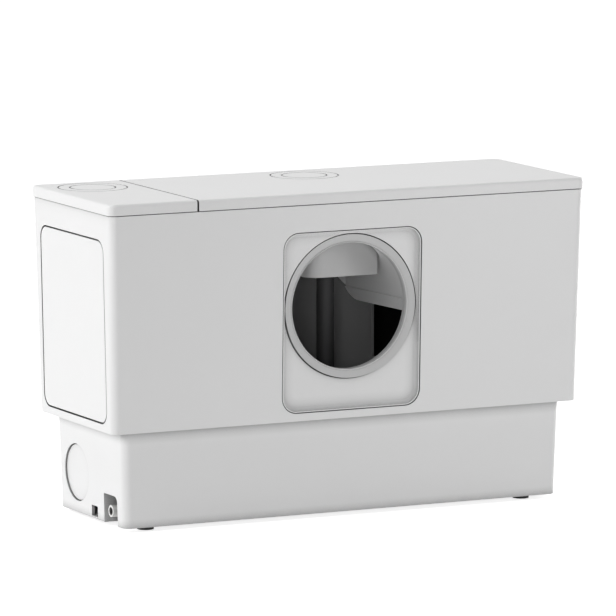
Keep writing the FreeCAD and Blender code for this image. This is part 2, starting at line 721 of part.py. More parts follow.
def inlet_plug():
    left = at(-WIDTH, PLUG_Y, PLUG_Z)
    right = at(0, PLUG_Y, PLUG_Z)
    disc = rod(PLUG_RADIUS - PLUG_GAP, left, right)
    disc = disc.common(lower_skin(PLUG_SINK, PLUG_SINK + PLUG_THICK))
    rim_radius = PLUG_RADIUS - PLUG_LEDGE - FIT
    rim = tube(rim_radius, rim_radius - PLUG_THICK, left, right)
    rim = rim.common(lower_skin(PLUG_SINK + PLUG_THICK / 2, PLUG_SINK + PLUG_THICK + PLUG_RIM_DEPTH))
    return disc.fuse(rim)


def lid_span(way, end_inset, seam_inset):
    """A lid's X range: way is -1 for the left lid and 1 for the right one."""
    return sorted((way * (WIDTH / 2 - end_inset), SEAM_X + way * (SEAM_GAP / 2 + seam_inset)))


def lid_block(way, end_inset, seam_inset, side_inset, z0, z1, corner):
    x0, x1 = lid_span(way, end_inset, seam_inset)
    return rounded_block(x0, x1, side_inset - DEPTH / 2, DEPTH / 2 - side_inset, z0, z1, corner)


def lid_outline():
    """Both lids as one: a rounded slab with a shadow groove under its edge."""
    half_w, half_d = WIDTH / 2, DEPTH / 2
    slab = rounded_block(-half_w, half_w, -half_d, half_d, CASING_TOP, HEIGHT, CORNER)
    top = [e for e in slab.Edges if all(abs(v.Z - HEIGHT) < TOUCH for v in e.Vertexes)]
    slab = slab.makeFillet(LID_EDGE, top)
    end = SHADOW_DEPTH + LID_OVERHANG
    groove = block(-FAR, FAR, -FAR, FAR, CASING_TOP, CASING_TOP + SHADOW_GAP)
    groove = groove.cut(rounded_block(end - half_w, half_w - end, SHADOW_DEPTH - half_d,
                                      half_d - SHADOW_DEPTH, CASING_TOP, CASING_TOP + SHADOW_GAP,
                                      CORNER - SHADOW_DEPTH))
    return slab.cut(groove)


def lid(way, score_x):
    """One lid: a shallow cap with a rim that stands inside the casing and two round score lines."""
    x0, x1 = lid_span(way, 0, 0)
    roof = HEIGHT - WALL
    body = lid_outline().common(block(x0, x1, -DEPTH, DEPTH, CASING_TOP, HEIGHT))
    end = WALL + LID_OVERHANG
    body = body.cut(lid_block(way, end, WALL, WALL, CASING_TOP, roof, CORNER - WALL))
    end += LID_RIM_CLEAR
    seam = BAR_WIDTH / 2 + LID_RIM_CLEAR
    side = WALL + LID_RIM_CLEAR
    low = CASING_TOP - LID_RIM_DROP
    rim = lid_block(way, end, seam, side, low, roof, CORNER - WALL)
    rim = rim.cut(lid_block(way, end + LID_RIM, seam + LID_RIM, side + LID_RIM, low, roof,
                            max(CORNER - WALL - LID_RIM, LEAST_CORNER)))
    body = body.fuse(rim)
    for radius in SCORE_RADII:
        body = body.cut(tube(radius + SCORE_WIDTH / 2, radius - SCORE_WIDTH / 2,
                             at(score_x, SCORE_Y, HEIGHT - SCORE_DEPTH), at(score_x, SCORE_Y, HEIGHT)))
    return body


def cable_gland():
    wall = at(POCKET_FLOOR_X, GLAND_Y, GLAND_Z)
    mouth = at(GLAND_MOUTH_X, GLAND_Y, GLAND_Z)
    tail = wall + at(POCKET_WALL + GLAND_TAIL, 0, 0)
    body = rod(GLAND_RADIUS, mouth, wall).fuse(rod(GLAND_THREAD, wall, tail))
    body = body.fuse(hexagon(NUT_RADIUS, wall - at(NUT_THICK, 0, 0), wall, at(0, 1, 0)))
    return body.cut(rod(GLAND_BORE, mouth, tail))


def gland_nut():
    inner = at(POCKET_FLOOR_X + POCKET_WALL, GLAND_Y, GLAND_Z)
    outer = inner + at(NUT_THICK, 0, 0)
    return hexagon(NUT_RADIUS, inner, outer, at(0, 1, 0)).cut(rod(GLAND_THREAD, inner, outer))


def turned(points, x, y):
    """A closed profile of radius and height, turned about an upright axis."""
    outline = [at(radius, 0, z) for radius, z in points]
    face = Part.Face(Part.makePolygon(outline + outline[:1]))
    solid = face.revolve(at(0, 0, 0), at(0, 0, 1), 360)
    solid.translate(at(x, y, 0))
    return solid


def turned_at_port(points):
    """A closed profile of radius and Y, turned about the port's axis."""
    solid = turned(points, 0, 0)
    solid.rotate(at(0, 0, 0), at(1, 0, 0), -90)
    solid.translate(at(PORT_X, 0, PORT_Z))
    return solid


def port_collar():
    seat = PORT_RADIUS + SEAL_WIDTH
    tube_radius = PORT_RADIUS + COLLAR_TUBE
    seal_end = BORE_FRONT_Y + SEAL_DEPTH
    return turned_at_port([(seat, BORE_FRONT_Y), (COLLAR_RADIUS, COLLAR_FRONT_Y),
                           (COLLAR_RADIUS, TANK_FRONT), (tube_radius, TANK_FRONT),
                           (tube_radius, COLLAR_BACK_Y), (PORT_RADIUS, COLLAR_BACK_Y),
                           (PORT_RADIUS, seal_end), (seat, seal_end)])


def port_seal():
    seat = PORT_RADIUS + SEAL_WIDTH
    nose = BORE_FRONT_Y - SEAL_WIDTH / 2
    seal_end = BORE_FRONT_Y + SEAL_DEPTH
    return turned_at_port([(PORT_RADIUS, BORE_FRONT_Y), (PORT_RADIUS + SEAL_WIDTH / 2, nose),
                           (seat, BORE_FRONT_Y), (seat, seal_end), (PORT_RADIUS, seal_end)])


def tank_opening(z0, z1):
    return rounded_block(TANK_LEFT + TANK_WALL, TANK_RIGHT - TANK_WALL, TANK_WALL - TANK_HALF_DEPTH,
                         TANK_HALF_DEPTH - TANK_WALL, z0, z1, TANK_CORNER - TANK_WALL)


def tank_flange(z0, z1):
    return rounded_block(TANK_LEFT - FLANGE_REACH, TANK_RIGHT + FLANGE_REACH, -FLANGE_HALF_DEPTH,
                         FLANGE_HALF_DEPTH, z0, z1, TANK_CORNER)


def flange_screw_places():
    ends = (TANK_LEFT - FLANGE_REACH / 2, TANK_RIGHT + FLANGE_REACH / 2)
    return [(x, i * FLANGE_SCREW_SPACING) for x in ends for i in (-1, 0, 1)]


def with_holes(body, places, radius, z0, z1):
    for x, y in places:
        body = body.cut(post(radius, x, y, z0, z1))
    return body


def tank_lower():
    body = rounded_block(TANK_LEFT, TANK_RIGHT, -TANK_HALF_DEPTH, TANK_HALF_DEPTH,
                         CASING_FLOOR, GASKET_Z, TANK_CORNER)
    body = body.fuse(tank_flange(FLANGE_Z, GASKET_Z))
    body = body.cut(tank_opening(TANK_FLOOR, GASKET_Z + TANK_WALL))
    body = body.cut(rod(PIPE_RADIUS + FIT, at(-WIDTH, OUTLET_Y, OUTLET_Z), at(0, OUTLET_Y, OUTLET_Z)))
    body = body.cut(rod(INLET_RADIUS + FIT, at(-WIDTH, PLUG_Y, PLUG_Z), at(0, PLUG_Y, PLUG_Z)))
    return with_holes(body, flange_screw_places(), SCREW_HOLE, FLANGE_Z, GASKET_Z)


def tank_gasket():
    body = tank_flange(GASKET_Z, UPPER_FLANGE_Z).cut(tank_opening(GASKET_Z, UPPER_FLANGE_Z))
    return with_holes(body, flange_screw_places(), SCREW_HOLE, GASKET_Z, UPPER_FLANGE_Z)


def stepped_tank(inset, z0, z1):
    """The upper shell's outline, with its roof lower to the right of the step."""
    body = rounded_block(TANK_LEFT + inset, TANK_RIGHT - inset, TANK_FRONT + inset, TANK_BACK - inset,
                         z0, z1, TANK_CORNER - inset)
    return body.cut(block(STEP_X - inset, FAR, -FAR, FAR, STEP_TOP - inset, FAR))


def tank_upper():
    body = stepped_tank(0, UPPER_FLANGE_Z, TANK_TOP)
    body = body.fuse(tank_flange(UPPER_FLANGE_Z, UPPER_FLOOR_TOP))
    body = body.cut(stepped_tank(TANK_WALL, UPPER_FLOOR_TOP, TANK_TOP - TANK_WALL))
    body = body.cut(tank_opening(UPPER_FLANGE_Z, UPPER_FLOOR_TOP))
    port = rod(PORT_RADIUS + COLLAR_TUBE + FIT, at(PORT_X, TANK_FRONT, PORT_Z),
               at(PORT_X, TANK_FRONT + TANK_WALL, PORT_Z))
    body = body.cut(port)
    body = body.cut(pod_outline(FIT, TANK_TOP - TANK_WALL, TANK_TOP))
    body = body.cut(post(BELL_RADIUS + FIT, BELL_X, BELL_Y, STEP_TOP - TANK_WALL, STEP_TOP))
    body = body.cut(post(VENT_HOLE, VENT_X, VENT_Y, TANK_TOP - TANK_WALL, TANK_TOP))
    body = with_holes(body, flange_screw_places(), SCREW_HOLE, UPPER_FLANGE_Z, UPPER_FLOOR_TOP)
    return with_holes(body, pod_screw_places(), SCREW_HOLE, TANK_TOP - TANK_WALL, TANK_TOP)


def tank_screws():
    length = UPPER_FLOOR_TOP - FLANGE_Z
    places = flange_screw_places()
    return Part.makeCompound([screw(x, y, UPPER_FLOOR_TOP, length) for x, y in places])


def arch(grow, z0):
    """The chute's outline as a solid: a half round on two legs, tapering to the back."""
    wires = []
    front_y = TANK_FRONT + TANK_WALL
    for half, y in ((CHUTE_FRONT_HALF + grow, front_y), (CHUTE_BACK_HALF + grow, CHUTE_BACK_Y)):
        left_low = at(PORT_X - half, y, z0)
        left = at(PORT_X - half, y, PORT_Z)
        crown = at(PORT_X, y, PORT_Z + half)
        right = at(PORT_X + half, y, PORT_Z)
        right_low = at(PORT_X + half, y, z0)
        wires.append(Part.Wire([Part.LineSegment(left_low, left).toShape(),
                                Part.Arc(left, crown, right).toShape(),
                                Part.LineSegment(right, right_low).toShape(),
                                Part.LineSegment(right_low, left_low).toShape()]))
    return Part.makeLoft(wires, True, True)


def inlet_chute():
    outer = arch(CHUTE_WALL, CHUTE_LEG_Z)
    body = outer.cut(arch(0, CHUTE_LEG_Z))
    band = outer.cut(arch(-CHUTE_BAND, CHUTE_LEG_Z))
    band = band.common(block(-FAR, FAR, -FAR, FAR, CHUTE_LEG_Z, CHUTE_BAND_Z))
    body = body.fuse(band).fuse(chute_tail())
    rise_end = CHUTE_RISE_Y + CHUTE_RISE_RADIUS
    rise_top = CHUTE_LEG_Z + CHUTE_RISE_RADIUS
    corner = block(-FAR, FAR, CHUTE_RISE_Y, rise_end, CHUTE_LEG_Z, rise_top)
    corner = corner.cut(rod(CHUTE_RISE_RADIUS, at(-FAR, CHUTE_RISE_Y, rise_top),
                            at(FAR, CHUTE_RISE_Y, rise_top)))
    return body.cut(corner).cut(pod_outline(POD_CLEAR, POD_BOTTOM - POD_CLEAR, TANK_TOP))


def chute_tail():
    """The end of the right wall, which turns to follow the basket."""
    radius = BASKET_RADIUS - CHUTE_TAIL_GAP
    ring = shaft_ring(radius, radius - CHUTE_WALL, CHUTE_LEG_Z, BASKET_TOP)
    return ring.common(block(SHAFT_X, FAR, CHUTE_BACK_Y - CHUTE_WALL / 2, CHUTE_RISE_Y + CHUTE_RISE_RADIUS,
                             CHUTE_LEG_Z, BASKET_TOP))


def pod_outline(grow, z0, z1):
    """The pod's plan: well rounded on the left, nearly square on the right."""
    body = block(POD_LEFT - grow, POD_RIGHT + grow, POD_FRONT - grow, POD_BACK + grow, z0, z1)
    upright = [e for e in body.Edges if abs(e.Vertexes[0].Z - e.Vertexes[1].Z) > (z1 - z0) / 2]
    left = [e for e in upright if e.Vertexes[0].X < SHAFT_X]
    right = [e for e in upright if e.Vertexes[0].X > SHAFT_X]
    body = body.makeFillet(POD_ROUND + grow, left)
    return body.makeFillet(max(POD_EDGE + grow, LEAST_CORNER), matching(body, right))


def matching(body, edges):
    """The edges of a body that lie where the given ones did."""
    places = [e.CenterOfMass for e in edges]
    return [e for e in body.Edges if any(e.CenterOfMass.distanceToPoint(p) < TOUCH for p in places)]


def pod_screw_places():
    reach = POD_FLANGE / 2
    xs = (POD_LEFT - reach, POD_RIGHT + reach)
    ys = (POD_FRONT - reach, POD_BACK + reach)
    return [(x, y) for x in xs for y in ys]


def pod_flange(z0, z1):
    return rounded_block(POD_LEFT - POD_FLANGE, POD_RIGHT + POD_FLANGE, POD_FRONT - POD_FLANGE,
                         POD_BACK + POD_FLANGE, z0, z1, POD_FLANGE)


def motor_pod():
    body = pod_outline(0, POD_BOTTOM, CAP_FLANGE_Z).fuse(pod_flange(POD_FLANGE_Z, CAP_FLANGE_Z))
    body = body.cut(pod_outline(-POD_WALL, POD_INNER_FLOOR, CAP_FLANGE_Z))
    bearing_top = LOWER_BEARING_Z + BEARING_WIDTH
    body = body.fuse(post(BEARING_RADIUS + BEARING_WALL, SHAFT_X, SHAFT_Y, POD_INNER_FLOOR, bearing_top))
    body = body.cut(post(BEARING_RADIUS, SHAFT_X, SHAFT_Y, LOWER_BEARING_Z, bearing_top))
    body = body.cut(post(SEAL_RADIUS, SHAFT_X, SHAFT_Y, POD_BOTTOM, LOWER_BEARING_Z))
    return with_holes(body, pod_screw_places(), SCREW_HOLE, POD_FLANGE_Z, CAP_FLANGE_Z)


def motor_cap():
    flange_top = CAP_FLANGE_Z + FLANGE_THICK
    roof = CAP_TOP - POD_FLOOR
    body = pod_outline(0, CAP_FLANGE_Z, CAP_TOP).fuse(pod_flange(CAP_FLANGE_Z, flange_top))
    body = body.cut(pod_outline(-POD_WALL, CAP_FLANGE_Z, roof))
    body = body.fuse(post(BEARING_RADIUS + BEARING_WALL, SHAFT_X, SHAFT_Y, UPPER_BEARING_Z, roof))
    body = body.cut(post(BEARING_RADIUS, SHAFT_X, SHAFT_Y, UPPER_BEARING_Z, roof))
    return with_holes(body, pod_screw_places(), SCREW_HOLE, CAP_FLANGE_Z, flange_top)


def motor_screws():
    top = CAP_FLANGE_Z + FLANGE_THICK
    length = top - TANK_TOP + TANK_WALL
    return Part.makeCompound([screw(x, y, top, length) for x, y in pod_screw_places()])


def shaft_ring(radius, bore, z0, z1):
    return post(radius, SHAFT_X, SHAFT_Y, z0, z1).cut(post(bore, SHAFT_X, SHAFT_Y, z0, z1))


def bearing(z):
    """A ball bearing: two races with a sunk shield between them on each face."""
    body = shaft_ring(BEARING_RADIUS, SHAFT_RADIUS + RUN_CLEAR, z, z + BEARING_WIDTH)
    for z0 in (z, z + BEARING_WIDTH - SHIELD_SINK):
        body = body.cut(shaft_ring(BEARING_RADIUS - RACE, SHAFT_RADIUS + RACE, z0, z0 + SHIELD_SINK))
    return body


def shaft_seal():
    return shaft_ring(SEAL_RADIUS, SHAFT_RADIUS + RUN_CLEAR, POD_BOTTOM, LOWER_BEARING_Z)


def stator_core():
    return shaft_ring(STATOR_RADIUS, STATOR_BORE, STACK_Z, STACK_Z + STACK_HEIGHT)


def stator_windings():
    outer = STATOR_RADIUS - WINDING_INSET
    inner = STATOR_BORE + WINDING_INSET
    top = STACK_Z + STACK_HEIGHT
    return Part.makeCompound([shaft_ring(outer, inner, STACK_Z - WINDING_HEIGHT, STACK_Z),
                              shaft_ring(outer, inner, top, top + WINDING_HEIGHT)])


def rotor_core():
    return shaft_ring(STATOR_BORE - AIR_GAP, SHAFT_RADIUS, STACK_Z, STACK_Z + STACK_HEIGHT)


def motor_shaft():
    return post(SHAFT_RADIUS, SHAFT_X, SHAFT_Y, END_NUT_Z, SHAFT_TOP)


def shaft_sleeve():
    return shaft_ring(SHAFT_RADIUS + SLEEVE_WALL, SHAFT_RADIUS, CUTTER_TOP, POD_BOTTOM - FIT)


def macerator_basket():
    hole = SHAFT_RADIUS + FIT
    wall = BASKET_WALL
    body = turned([(hole, PUMP_TOP), (BASKET_FOOT_RADIUS + wall, PUMP_TOP),
                   (BASKET_WAIST_RADIUS + wall, BASKET_WAIST_Z),
                   (BASKET_RADIUS + wall, BASKET_SHOULDER_Z), (BASKET_RADIUS + wall, BASKET_TOP),
                   (BASKET_RADIUS, BASKET_TOP), (BASKET_RADIUS, BASKET_SHOULDER_Z),
                   (BASKET_WAIST_RADIUS, BASKET_WAIST_Z), (BASKET_FOOT_RADIUS, BASKET_FLOOR),
                   (hole, BASKET_FLOOR)], SHAFT_X, SHAFT_Y)
    body = body.cut(block(-FAR, FAR, -FAR, BASKET_CUT_Y, BASKET_LIP_Z, BASKET_TOP))
    half = BASKET_SLOT_WIDTH / 2
    for i in range(BASKET_SLOTS):
        slot = block(BASKET_FOOT_RADIUS - BASKET_SLOT_WIDTH, BASKET_WAIST_RADIUS + BASKET_SLOT_WIDTH,
                     -half, half, BASKET_SLOT_Z, BASKET_SLOT_Z + BASKET_SLOT_HEIGHT)
        slot.rotate(at(0, 0, 0), at(0, 0, 1), 360 * (i + 0.5) / BASKET_SLOTS)
        slot.translate(at(SHAFT_X, SHAFT_Y, 0))
        body = body.cut(slot)
    return body


def cutter_hub():
    return shaft_ring(HUB_RADIUS, SHAFT_RADIUS, CUTTER_Z, CUTTER_TOP)


def cutter_blades():
    body = post(HUB_RADIUS + CUTTER_THICK, SHAFT_X, SHAFT_Y, CUTTER_Z, CUTTER_Z + CUTTER_THICK)
    for i in range(CUTTER_BLADES):
        blade = Part.Face(Part.makePolygon([at(0, -CUTTER_WIDTH / 2, CUTTER_Z),
                                            at(CUTTER_REACH, -CUTTER_WIDTH / 2, CUTTER_Z),
                                            at(CUTTER_REACH - CUTTER_WIDTH / 2, CUTTER_WIDTH / 4, CUTTER_Z),
                                            at(0, CUTTER_WIDTH / 2, CUTTER_Z),
                                            at(0, -CUTTER_WIDTH / 2, CUTTER_Z)]))
        blade = blade.extrude(at(0, 0, CUTTER_THICK))
        blade.rotate(at(0, 0, 0), at(0, 0, 1), 360 * i / CUTTER_BLADES)
        blade.translate(at(SHAFT_X, SHAFT_Y, 0))
        body = body.fuse(blade)
    return body.cut(post(HUB_RADIUS, SHAFT_X, SHAFT_Y, CUTTER_Z, CUTTER_Z + CUTTER_THICK))


def pump_volute():
    end = at(TANK_LEFT - FLANGE_REACH, OUTLET_Y, OUTLET_Z)
    body = post(PUMP_RADIUS, SHAFT_X, SHAFT_Y, CAVITY_FLOOR, PUMP_TOP)
    body = body.fuse(rod(PIPE_RADIUS, at(SHAFT_X + PIPE_WALL, OUTLET_Y, OUTLET_Z), end))
    body = body.cut(post(PUMP_CAVITY, SHAFT_X, SHAFT_Y, CAVITY_FLOOR, PUMP_TOP - PUMP_PLATE))
    body = body.cut(rod(PIPE_RADIUS - PIPE_WALL, at(SHAFT_X, OUTLET_Y, OUTLET_Z), end))
    return body.cut(post(SHAFT_RADIUS + FIT, SHAFT_X, SHAFT_Y, CAVITY_FLOOR, PUMP_TOP))


def suction_plate():
    body = shaft_ring(PUMP_RADIUS, SUCTION_RADIUS, PUMP_BOTTOM, CAVITY_FLOOR)
    for i in range(PUMP_LEGS):
        turn = math.radians(360 * i / PUMP_LEGS + PUMP_LEG_TURN)
        reach = PUMP_RADIUS - PUMP_LEG - PUMP_LEG_INSET
        x, y = SHAFT_X + reach * math.cos(turn), SHAFT_Y + reach * math.sin(turn)
        body = body.fuse(post(PUMP_LEG, x, y, TANK_FLOOR, PUMP_BOTTOM))
    return body


def impeller():
    plate_z = IMPELLER_Z + VANE_HEIGHT
    body = post(IMPELLER_RADIUS, SHAFT_X, SHAFT_Y, plate_z, IMPELLER_TOP)
    body = body.fuse(post(HUB_RADIUS, SHAFT_X, SHAFT_Y, plate_z, IMPELLER_TOP + IMPELLER_PLATE))
    for i in range(VANE_COUNT):
        vane = block(END_NUT_RADIUS + VANE_THICK, IMPELLER_RADIUS, -VANE_THICK / 2, VANE_THICK / 2,
                     IMPELLER_Z, plate_z)
        vane.rotate(at(END_NUT_RADIUS + VANE_THICK, 0, 0), at(0, 0, 1), VANE_TURN)
        vane.rotate(at(0, 0, 0), at(0, 0, 1), 360 * i / VANE_COUNT)
        vane.translate(at(SHAFT_X, SHAFT_Y, 0))
        body = body.fuse(vane.common(post(IMPELLER_RADIUS, SHAFT_X, SHAFT_Y, IMPELLER_Z, plate_z)))
    return body.cut(post(SHAFT_RADIUS, SHAFT_X, SHAFT_Y, IMPELLER_Z, IMPELLER_TOP + IMPELLER_PLATE))


def impeller_nut():
    low = at(SHAFT_X, SHAFT_Y, END_NUT_Z)
    high = at(SHAFT_X, SHAFT_Y, END_NUT_Z + END_NUT_HEIGHT)
    return hexagon(END_NUT_RADIUS, low, high, at(1, 0, 0)).cut(rod(SHAFT_RADIUS, low, high))


def riser_elbow():
    route = [at(TANK_LEFT - FIT, OUTLET_Y, OUTLET_Z), at(RISER_X, OUTLET_Y, OUTLET_Z),
             at(RISER_X, OUTLET_Y, VALVE_BOTTOM)]
    return pipe(PIPE_RADIUS + SOCKET_WALL, route, ELBOW_RADIUS).cut(pipe(PIPE_RADIUS, route, ELBOW_RADIUS))


def riser_post(radius, z0, z1):
    return post(radius, RISER_X, OUTLET_Y, z0, z1)


def check_valve_body():
    body = riser_post(VALVE_RADIUS, VALVE_BOTTOM, VALVE_TOP)
    body = body.fuse(riser_post(PIPE_RADIUS, VALVE_BOTTOM - VALVE_NECK, VALVE_TOP + VALVE_NECK))
    body = body.cut(riser_post(PIPE_RADIUS - PIPE_WALL, VALVE_BOTTOM - VALVE_NECK, VALVE_TOP + VALVE_NECK))
    body = body.cut(riser_post(VALVE_RADIUS - VALVE_WALL, SEAT_Z, VALVE_TOP - VALVE_WALL))
    for way in (-1, 1):
        body = body.fuse(flap_ear(RISER_X + way * (PIN_LENGTH - EAR_WIDTH) / 2))
    return body.cut(flap_pin(0))


def flap_ear(x):
    """An ear on the seat with a round top about the flap's pin."""
    x0, x1 = x - EAR_WIDTH / 2, x + EAR_WIDTH / 2
    foot = block(x0, x1, FLAP_PIN_Y - BARREL_RADIUS, FLAP_PIN_Y + BARREL_RADIUS, SEAT_Z, FLAP_PIN_Z)
    return foot.fuse(rod(BARREL_RADIUS, at(x0, FLAP_PIN_Y, FLAP_PIN_Z), at(x1, FLAP_PIN_Y, FLAP_PIN_Z)))


def flap_pin(grow):
    half = PIN_LENGTH / 2
    return rod(PIN_RADIUS + grow, at(RISER_X - half, FLAP_PIN_Y, FLAP_PIN_Z),
               at(RISER_X + half, FLAP_PIN_Y, FLAP_PIN_Z))


def check_flap():
    half = PIN_LENGTH / 2 - EAR_WIDTH - FIT
    disc_z = SEAT_Z + FIT
    body = riser_post(FLAP_RADIUS, disc_z, disc_z + FLAP_THICK)
    body = body.fuse(block(RISER_X - half, RISER_X + half, OUTLET_Y, FLAP_PIN_Y, disc_z, FLAP_PIN_Z))
    body = body.fuse(rod(BARREL_RADIUS, at(RISER_X - half, FLAP_PIN_Y, FLAP_PIN_Z),
                         at(RISER_X + half, FLAP_PIN_Y, FLAP_PIN_Z)))
    return body.cut(flap_pin(RUN_CLEAR))


def hose_route():
    return [at(RISER_X, OUTLET_Y, VALVE_TOP + FIT), at(RISER_X, OUTLET_Y, HOSE_LOWER_BEND),
            at(SERVICE_SCORE_X, SCORE_Y, HOSE_UPPER_BEND), at(SERVICE_SCORE_X, SCORE_Y, HOSE_TOP)]


def discharge_hose():
    route = hose_route()
    return pipe(PIPE_RADIUS + SOCKET_WALL, route, HOSE_BEND).cut(pipe(PIPE_RADIUS, route, HOSE_BEND))


def hose_clip(start, end):
    """A band round the hose with its screw barrel on one side."""
    inner = PIPE_RADIUS + SOCKET_WALL
    outer = inner + CLIP_THICK
    along = (end - start).normalize()
    side = along.cross(at(0, 1, 0)).normalize()
    centre = (start + end) * 0.5 + side * (outer + CLIP_SCREW - CLIP_THICK)
    reach = at(0, CLIP_SCREW_REACH, 0)
    body = rod(outer, start, end).fuse(rod(CLIP_SCREW, centre - reach, centre + reach))
    return body.cut(rod(inner, start, end))


def hose_clips():
    spigot_x = TANK_LEFT - FLANGE_REACH
    pump_end = at(spigot_x, OUTLET_Y, OUTLET_Z)
    below = at(RISER_X, OUTLET_Y, VALVE_BOTTOM - CLIP_THICK - CLIP_WIDTH)
    above = at(RISER_X, OUTLET_Y, VALVE_TOP + CLIP_THICK)
    return Part.makeCompound([hose_clip(pump_end, pump_end + at(CLIP_WIDTH, 0, 0)),
                              hose_clip(below, below + at(0, 0, CLIP_WIDTH)),
                              hose_clip(above, above + at(0, 0, CLIP_WIDTH))])


def at_inlet(x):
    return at(x, PLUG_Y, PLUG_Z)


def side_inlet_spigot():
    body = rod(INLET_RADIUS, at_inlet(INLET_MOUTH_X), at_inlet(INLET_SEAT_X))
    body = body.fuse(rod(INLET_RADIUS + INLET_COLLAR, at_inlet(TANK_LEFT - INLET_COLLAR_THICK),
                         at_inlet(TANK_LEFT)))
    for way in (-1, 1):
        y = PLUG_Y + way * (PIN_LENGTH - EAR_WIDTH) / 2
        y0, y1 = y - EAR_WIDTH / 2, y + EAR_WIDTH / 2
        top = INLET_PIN_Z + BARREL_RADIUS
        body = body.fuse(block(TANK_LEFT + TANK_WALL + FIT, INLET_SEAT_X, y0, y1, PLUG_Z, top))
        head_z = PLUG_Z + INLET_RADIUS + FIT
        body = body.fuse(block(INLET_SEAT_X, INLET_PIN_X + BARREL_RADIUS, y0, y1, head_z, top))
    body = body.cut(rod(INLET_BORE, at_inlet(INLET_MOUTH_X), at_inlet(INLET_SEAT_X)))
    return body.cut(inlet_pin(0))


def inlet_pin(grow):
    half = PIN_LENGTH / 2
    return rod(PIN_RADIUS + grow, at(INLET_PIN_X, PLUG_Y - half, INLET_PIN_Z),
               at(INLET_PIN_X, PLUG_Y + half, INLET_PIN_Z))


def inlet_flap():
    half = PIN_LENGTH / 2 - EAR_WIDTH - FIT
    face_x = INLET_SEAT_X + FIT
    body = rod(INLET_FLAP_RADIUS, at_inlet(face_x), at_inlet(face_x + INLET_FLAP_THICK))
    body = body.fuse(block(face_x, face_x + INLET_FLAP_THICK, PLUG_Y - half, PLUG_Y + half,
                           PLUG_Z, INLET_PIN_Z))
    body = body.fuse(rod(BARREL_RADIUS, at(INLET_PIN_X, PLUG_Y - half, INLET_PIN_Z),
                         at(INLET_PIN_X, PLUG_Y + half, INLET_PIN_Z)))
    return body.cut(inlet_pin(RUN_CLEAR))


def bell_post(radius, z0, z1):
    return post(radius, BELL_X, BELL_Y, z0, z1)


def pressure_bell():
    roof = STEP_TOP + BELL_WALL
    body = bell_post(BELL_RADIUS, BELL_MOUTH_Z, STEP_TOP)
    body = body.fuse(bell_post(BELL_RADIUS + BELL_FLANGE, STEP_TOP, roof))
    body = body.fuse(bell_post(BARB_RADIUS, roof, roof + BARB_HEIGHT))
    body = body.cut(bell_post(BELL_RADIUS - BELL_WALL, BELL_MOUTH_Z, STEP_TOP))
    return body.cut(bell_post(BARB_BORE, STEP_TOP, roof + BARB_HEIGHT))


def switch_barb_x():
    return SWITCH_X - SWITCH_BARB


def air_hose():
    bell_end = at(BELL_X, BELL_Y, STEP_TOP + BELL_WALL + FIT)
    switch_end = at(switch_barb_x(), BELL_Y, SWITCH_TOP + FIT)
    top = SWITCH_TOP + AIR_HOSE_RISE
    route = [bell_end, at(BELL_X, BELL_Y, top), at(switch_barb_x(), BELL_Y, top), switch_end]
    bend = (switch_barb_x() - BELL_X) * AIR_HOSE_BEND_SHARE
    return pipe(BARB_RADIUS + AIR_HOSE_WALL, route, bend).cut(pipe(BARB_RADIUS, route, bend))


def switch_post(radius, z0, z1):
    return post(radius, SWITCH_X, BELL_Y, z0, z1)


def pressure_switch():
    cavity_z = SWITCH_Z + SWITCH_WALL
    body = switch_post(SWITCH_RADIUS, SWITCH_Z, SWITCH_TOP)
    body = body.fuse(switch_post(SWITCH_FOOT, STEP_TOP, SWITCH_Z))
    body = body.fuse(post(BARB_RADIUS, switch_barb_x(), BELL_Y, SWITCH_TOP, SWITCH_TOP + BARB_HEIGHT))
    body = body.cut(switch_post(SWITCH_RADIUS - SWITCH_WALL, cavity_z, SWITCH_TOP - SWITCH_WALL))
    body = body.cut(post(BARB_BORE, switch_barb_x(), BELL_Y, SWITCH_TOP - SWITCH_WALL,
                         SWITCH_TOP + BARB_HEIGHT))
    body = body.cut(switch_post(PLUNGER_RADIUS + RUN_CLEAR, SWITCH_TOP - SWITCH_WALL, SWITCH_TOP))
    arm_x = SWITCH_X + MICRO_WIDTH / 2
    arm = block(arm_x, arm_x + SWITCH_WALL, BELL_Y - MICRO_LENGTH / 3, BELL_Y + MICRO_LENGTH / 3,
                SWITCH_TOP, MICRO_Z + MICRO_HEIGHT)
    return body.fuse(arm)


def microswitch():
    body = block(SWITCH_X - MICRO_WIDTH / 2, SWITCH_X + MICRO_WIDTH / 2, BELL_Y - MICRO_LENGTH / 2,
                 BELL_Y + MICRO_LENGTH / 2, MICRO_Z, MICRO_Z + MICRO_HEIGHT)
    lug_z = MICRO_Z + MICRO_HEIGHT
    for i in (-1, 0, 1):
        y = BELL_Y + i * MICRO_LENGTH / 3
        body = body.fuse(block(SWITCH_X - MICRO_WIDTH / 4, SWITCH_X + MICRO_WIDTH / 4,
                               y - LUG / 2, y + LUG / 2, lug_z, lug_z + LUG_HEIGHT))
    return body


def switch_plunger():
    head_z = SWITCH_Z + SWITCH_WALL + FIT
    body = switch_post(PLUNGER_HEAD, head_z, head_z + PLUNGER_HEAD_THICK)
    return body.fuse(switch_post(PLUNGER_RADIUS, head_z, SWITCH_TOP + PLUNGER_STICK_OUT))


def switch_spring():
    """The return spring, drawn as the sleeve that its coils fill."""
    z0 = SWITCH_Z + SWITCH_WALL + FIT + PLUNGER_HEAD_THICK + FIT
    z1 = SWITCH_TOP - SWITCH_WALL - FIT
    inner = PLUNGER_RADIUS + FIT
    return switch_post(inner + SPRING_WIRE, z0, z1).cut(switch_post(inner, z0, z1))


def tray_block(inset, z0, z1):
    return rounded_block(TRAY_LEFT + inset, TRAY_LEFT + TRAY_LENGTH - inset, TRAY_FRONT + inset,
                         TRAY_FRONT + TRAY_WIDTH - inset, z0, z1, max(TRAY_CORNER - inset, LEAST_CORNER))


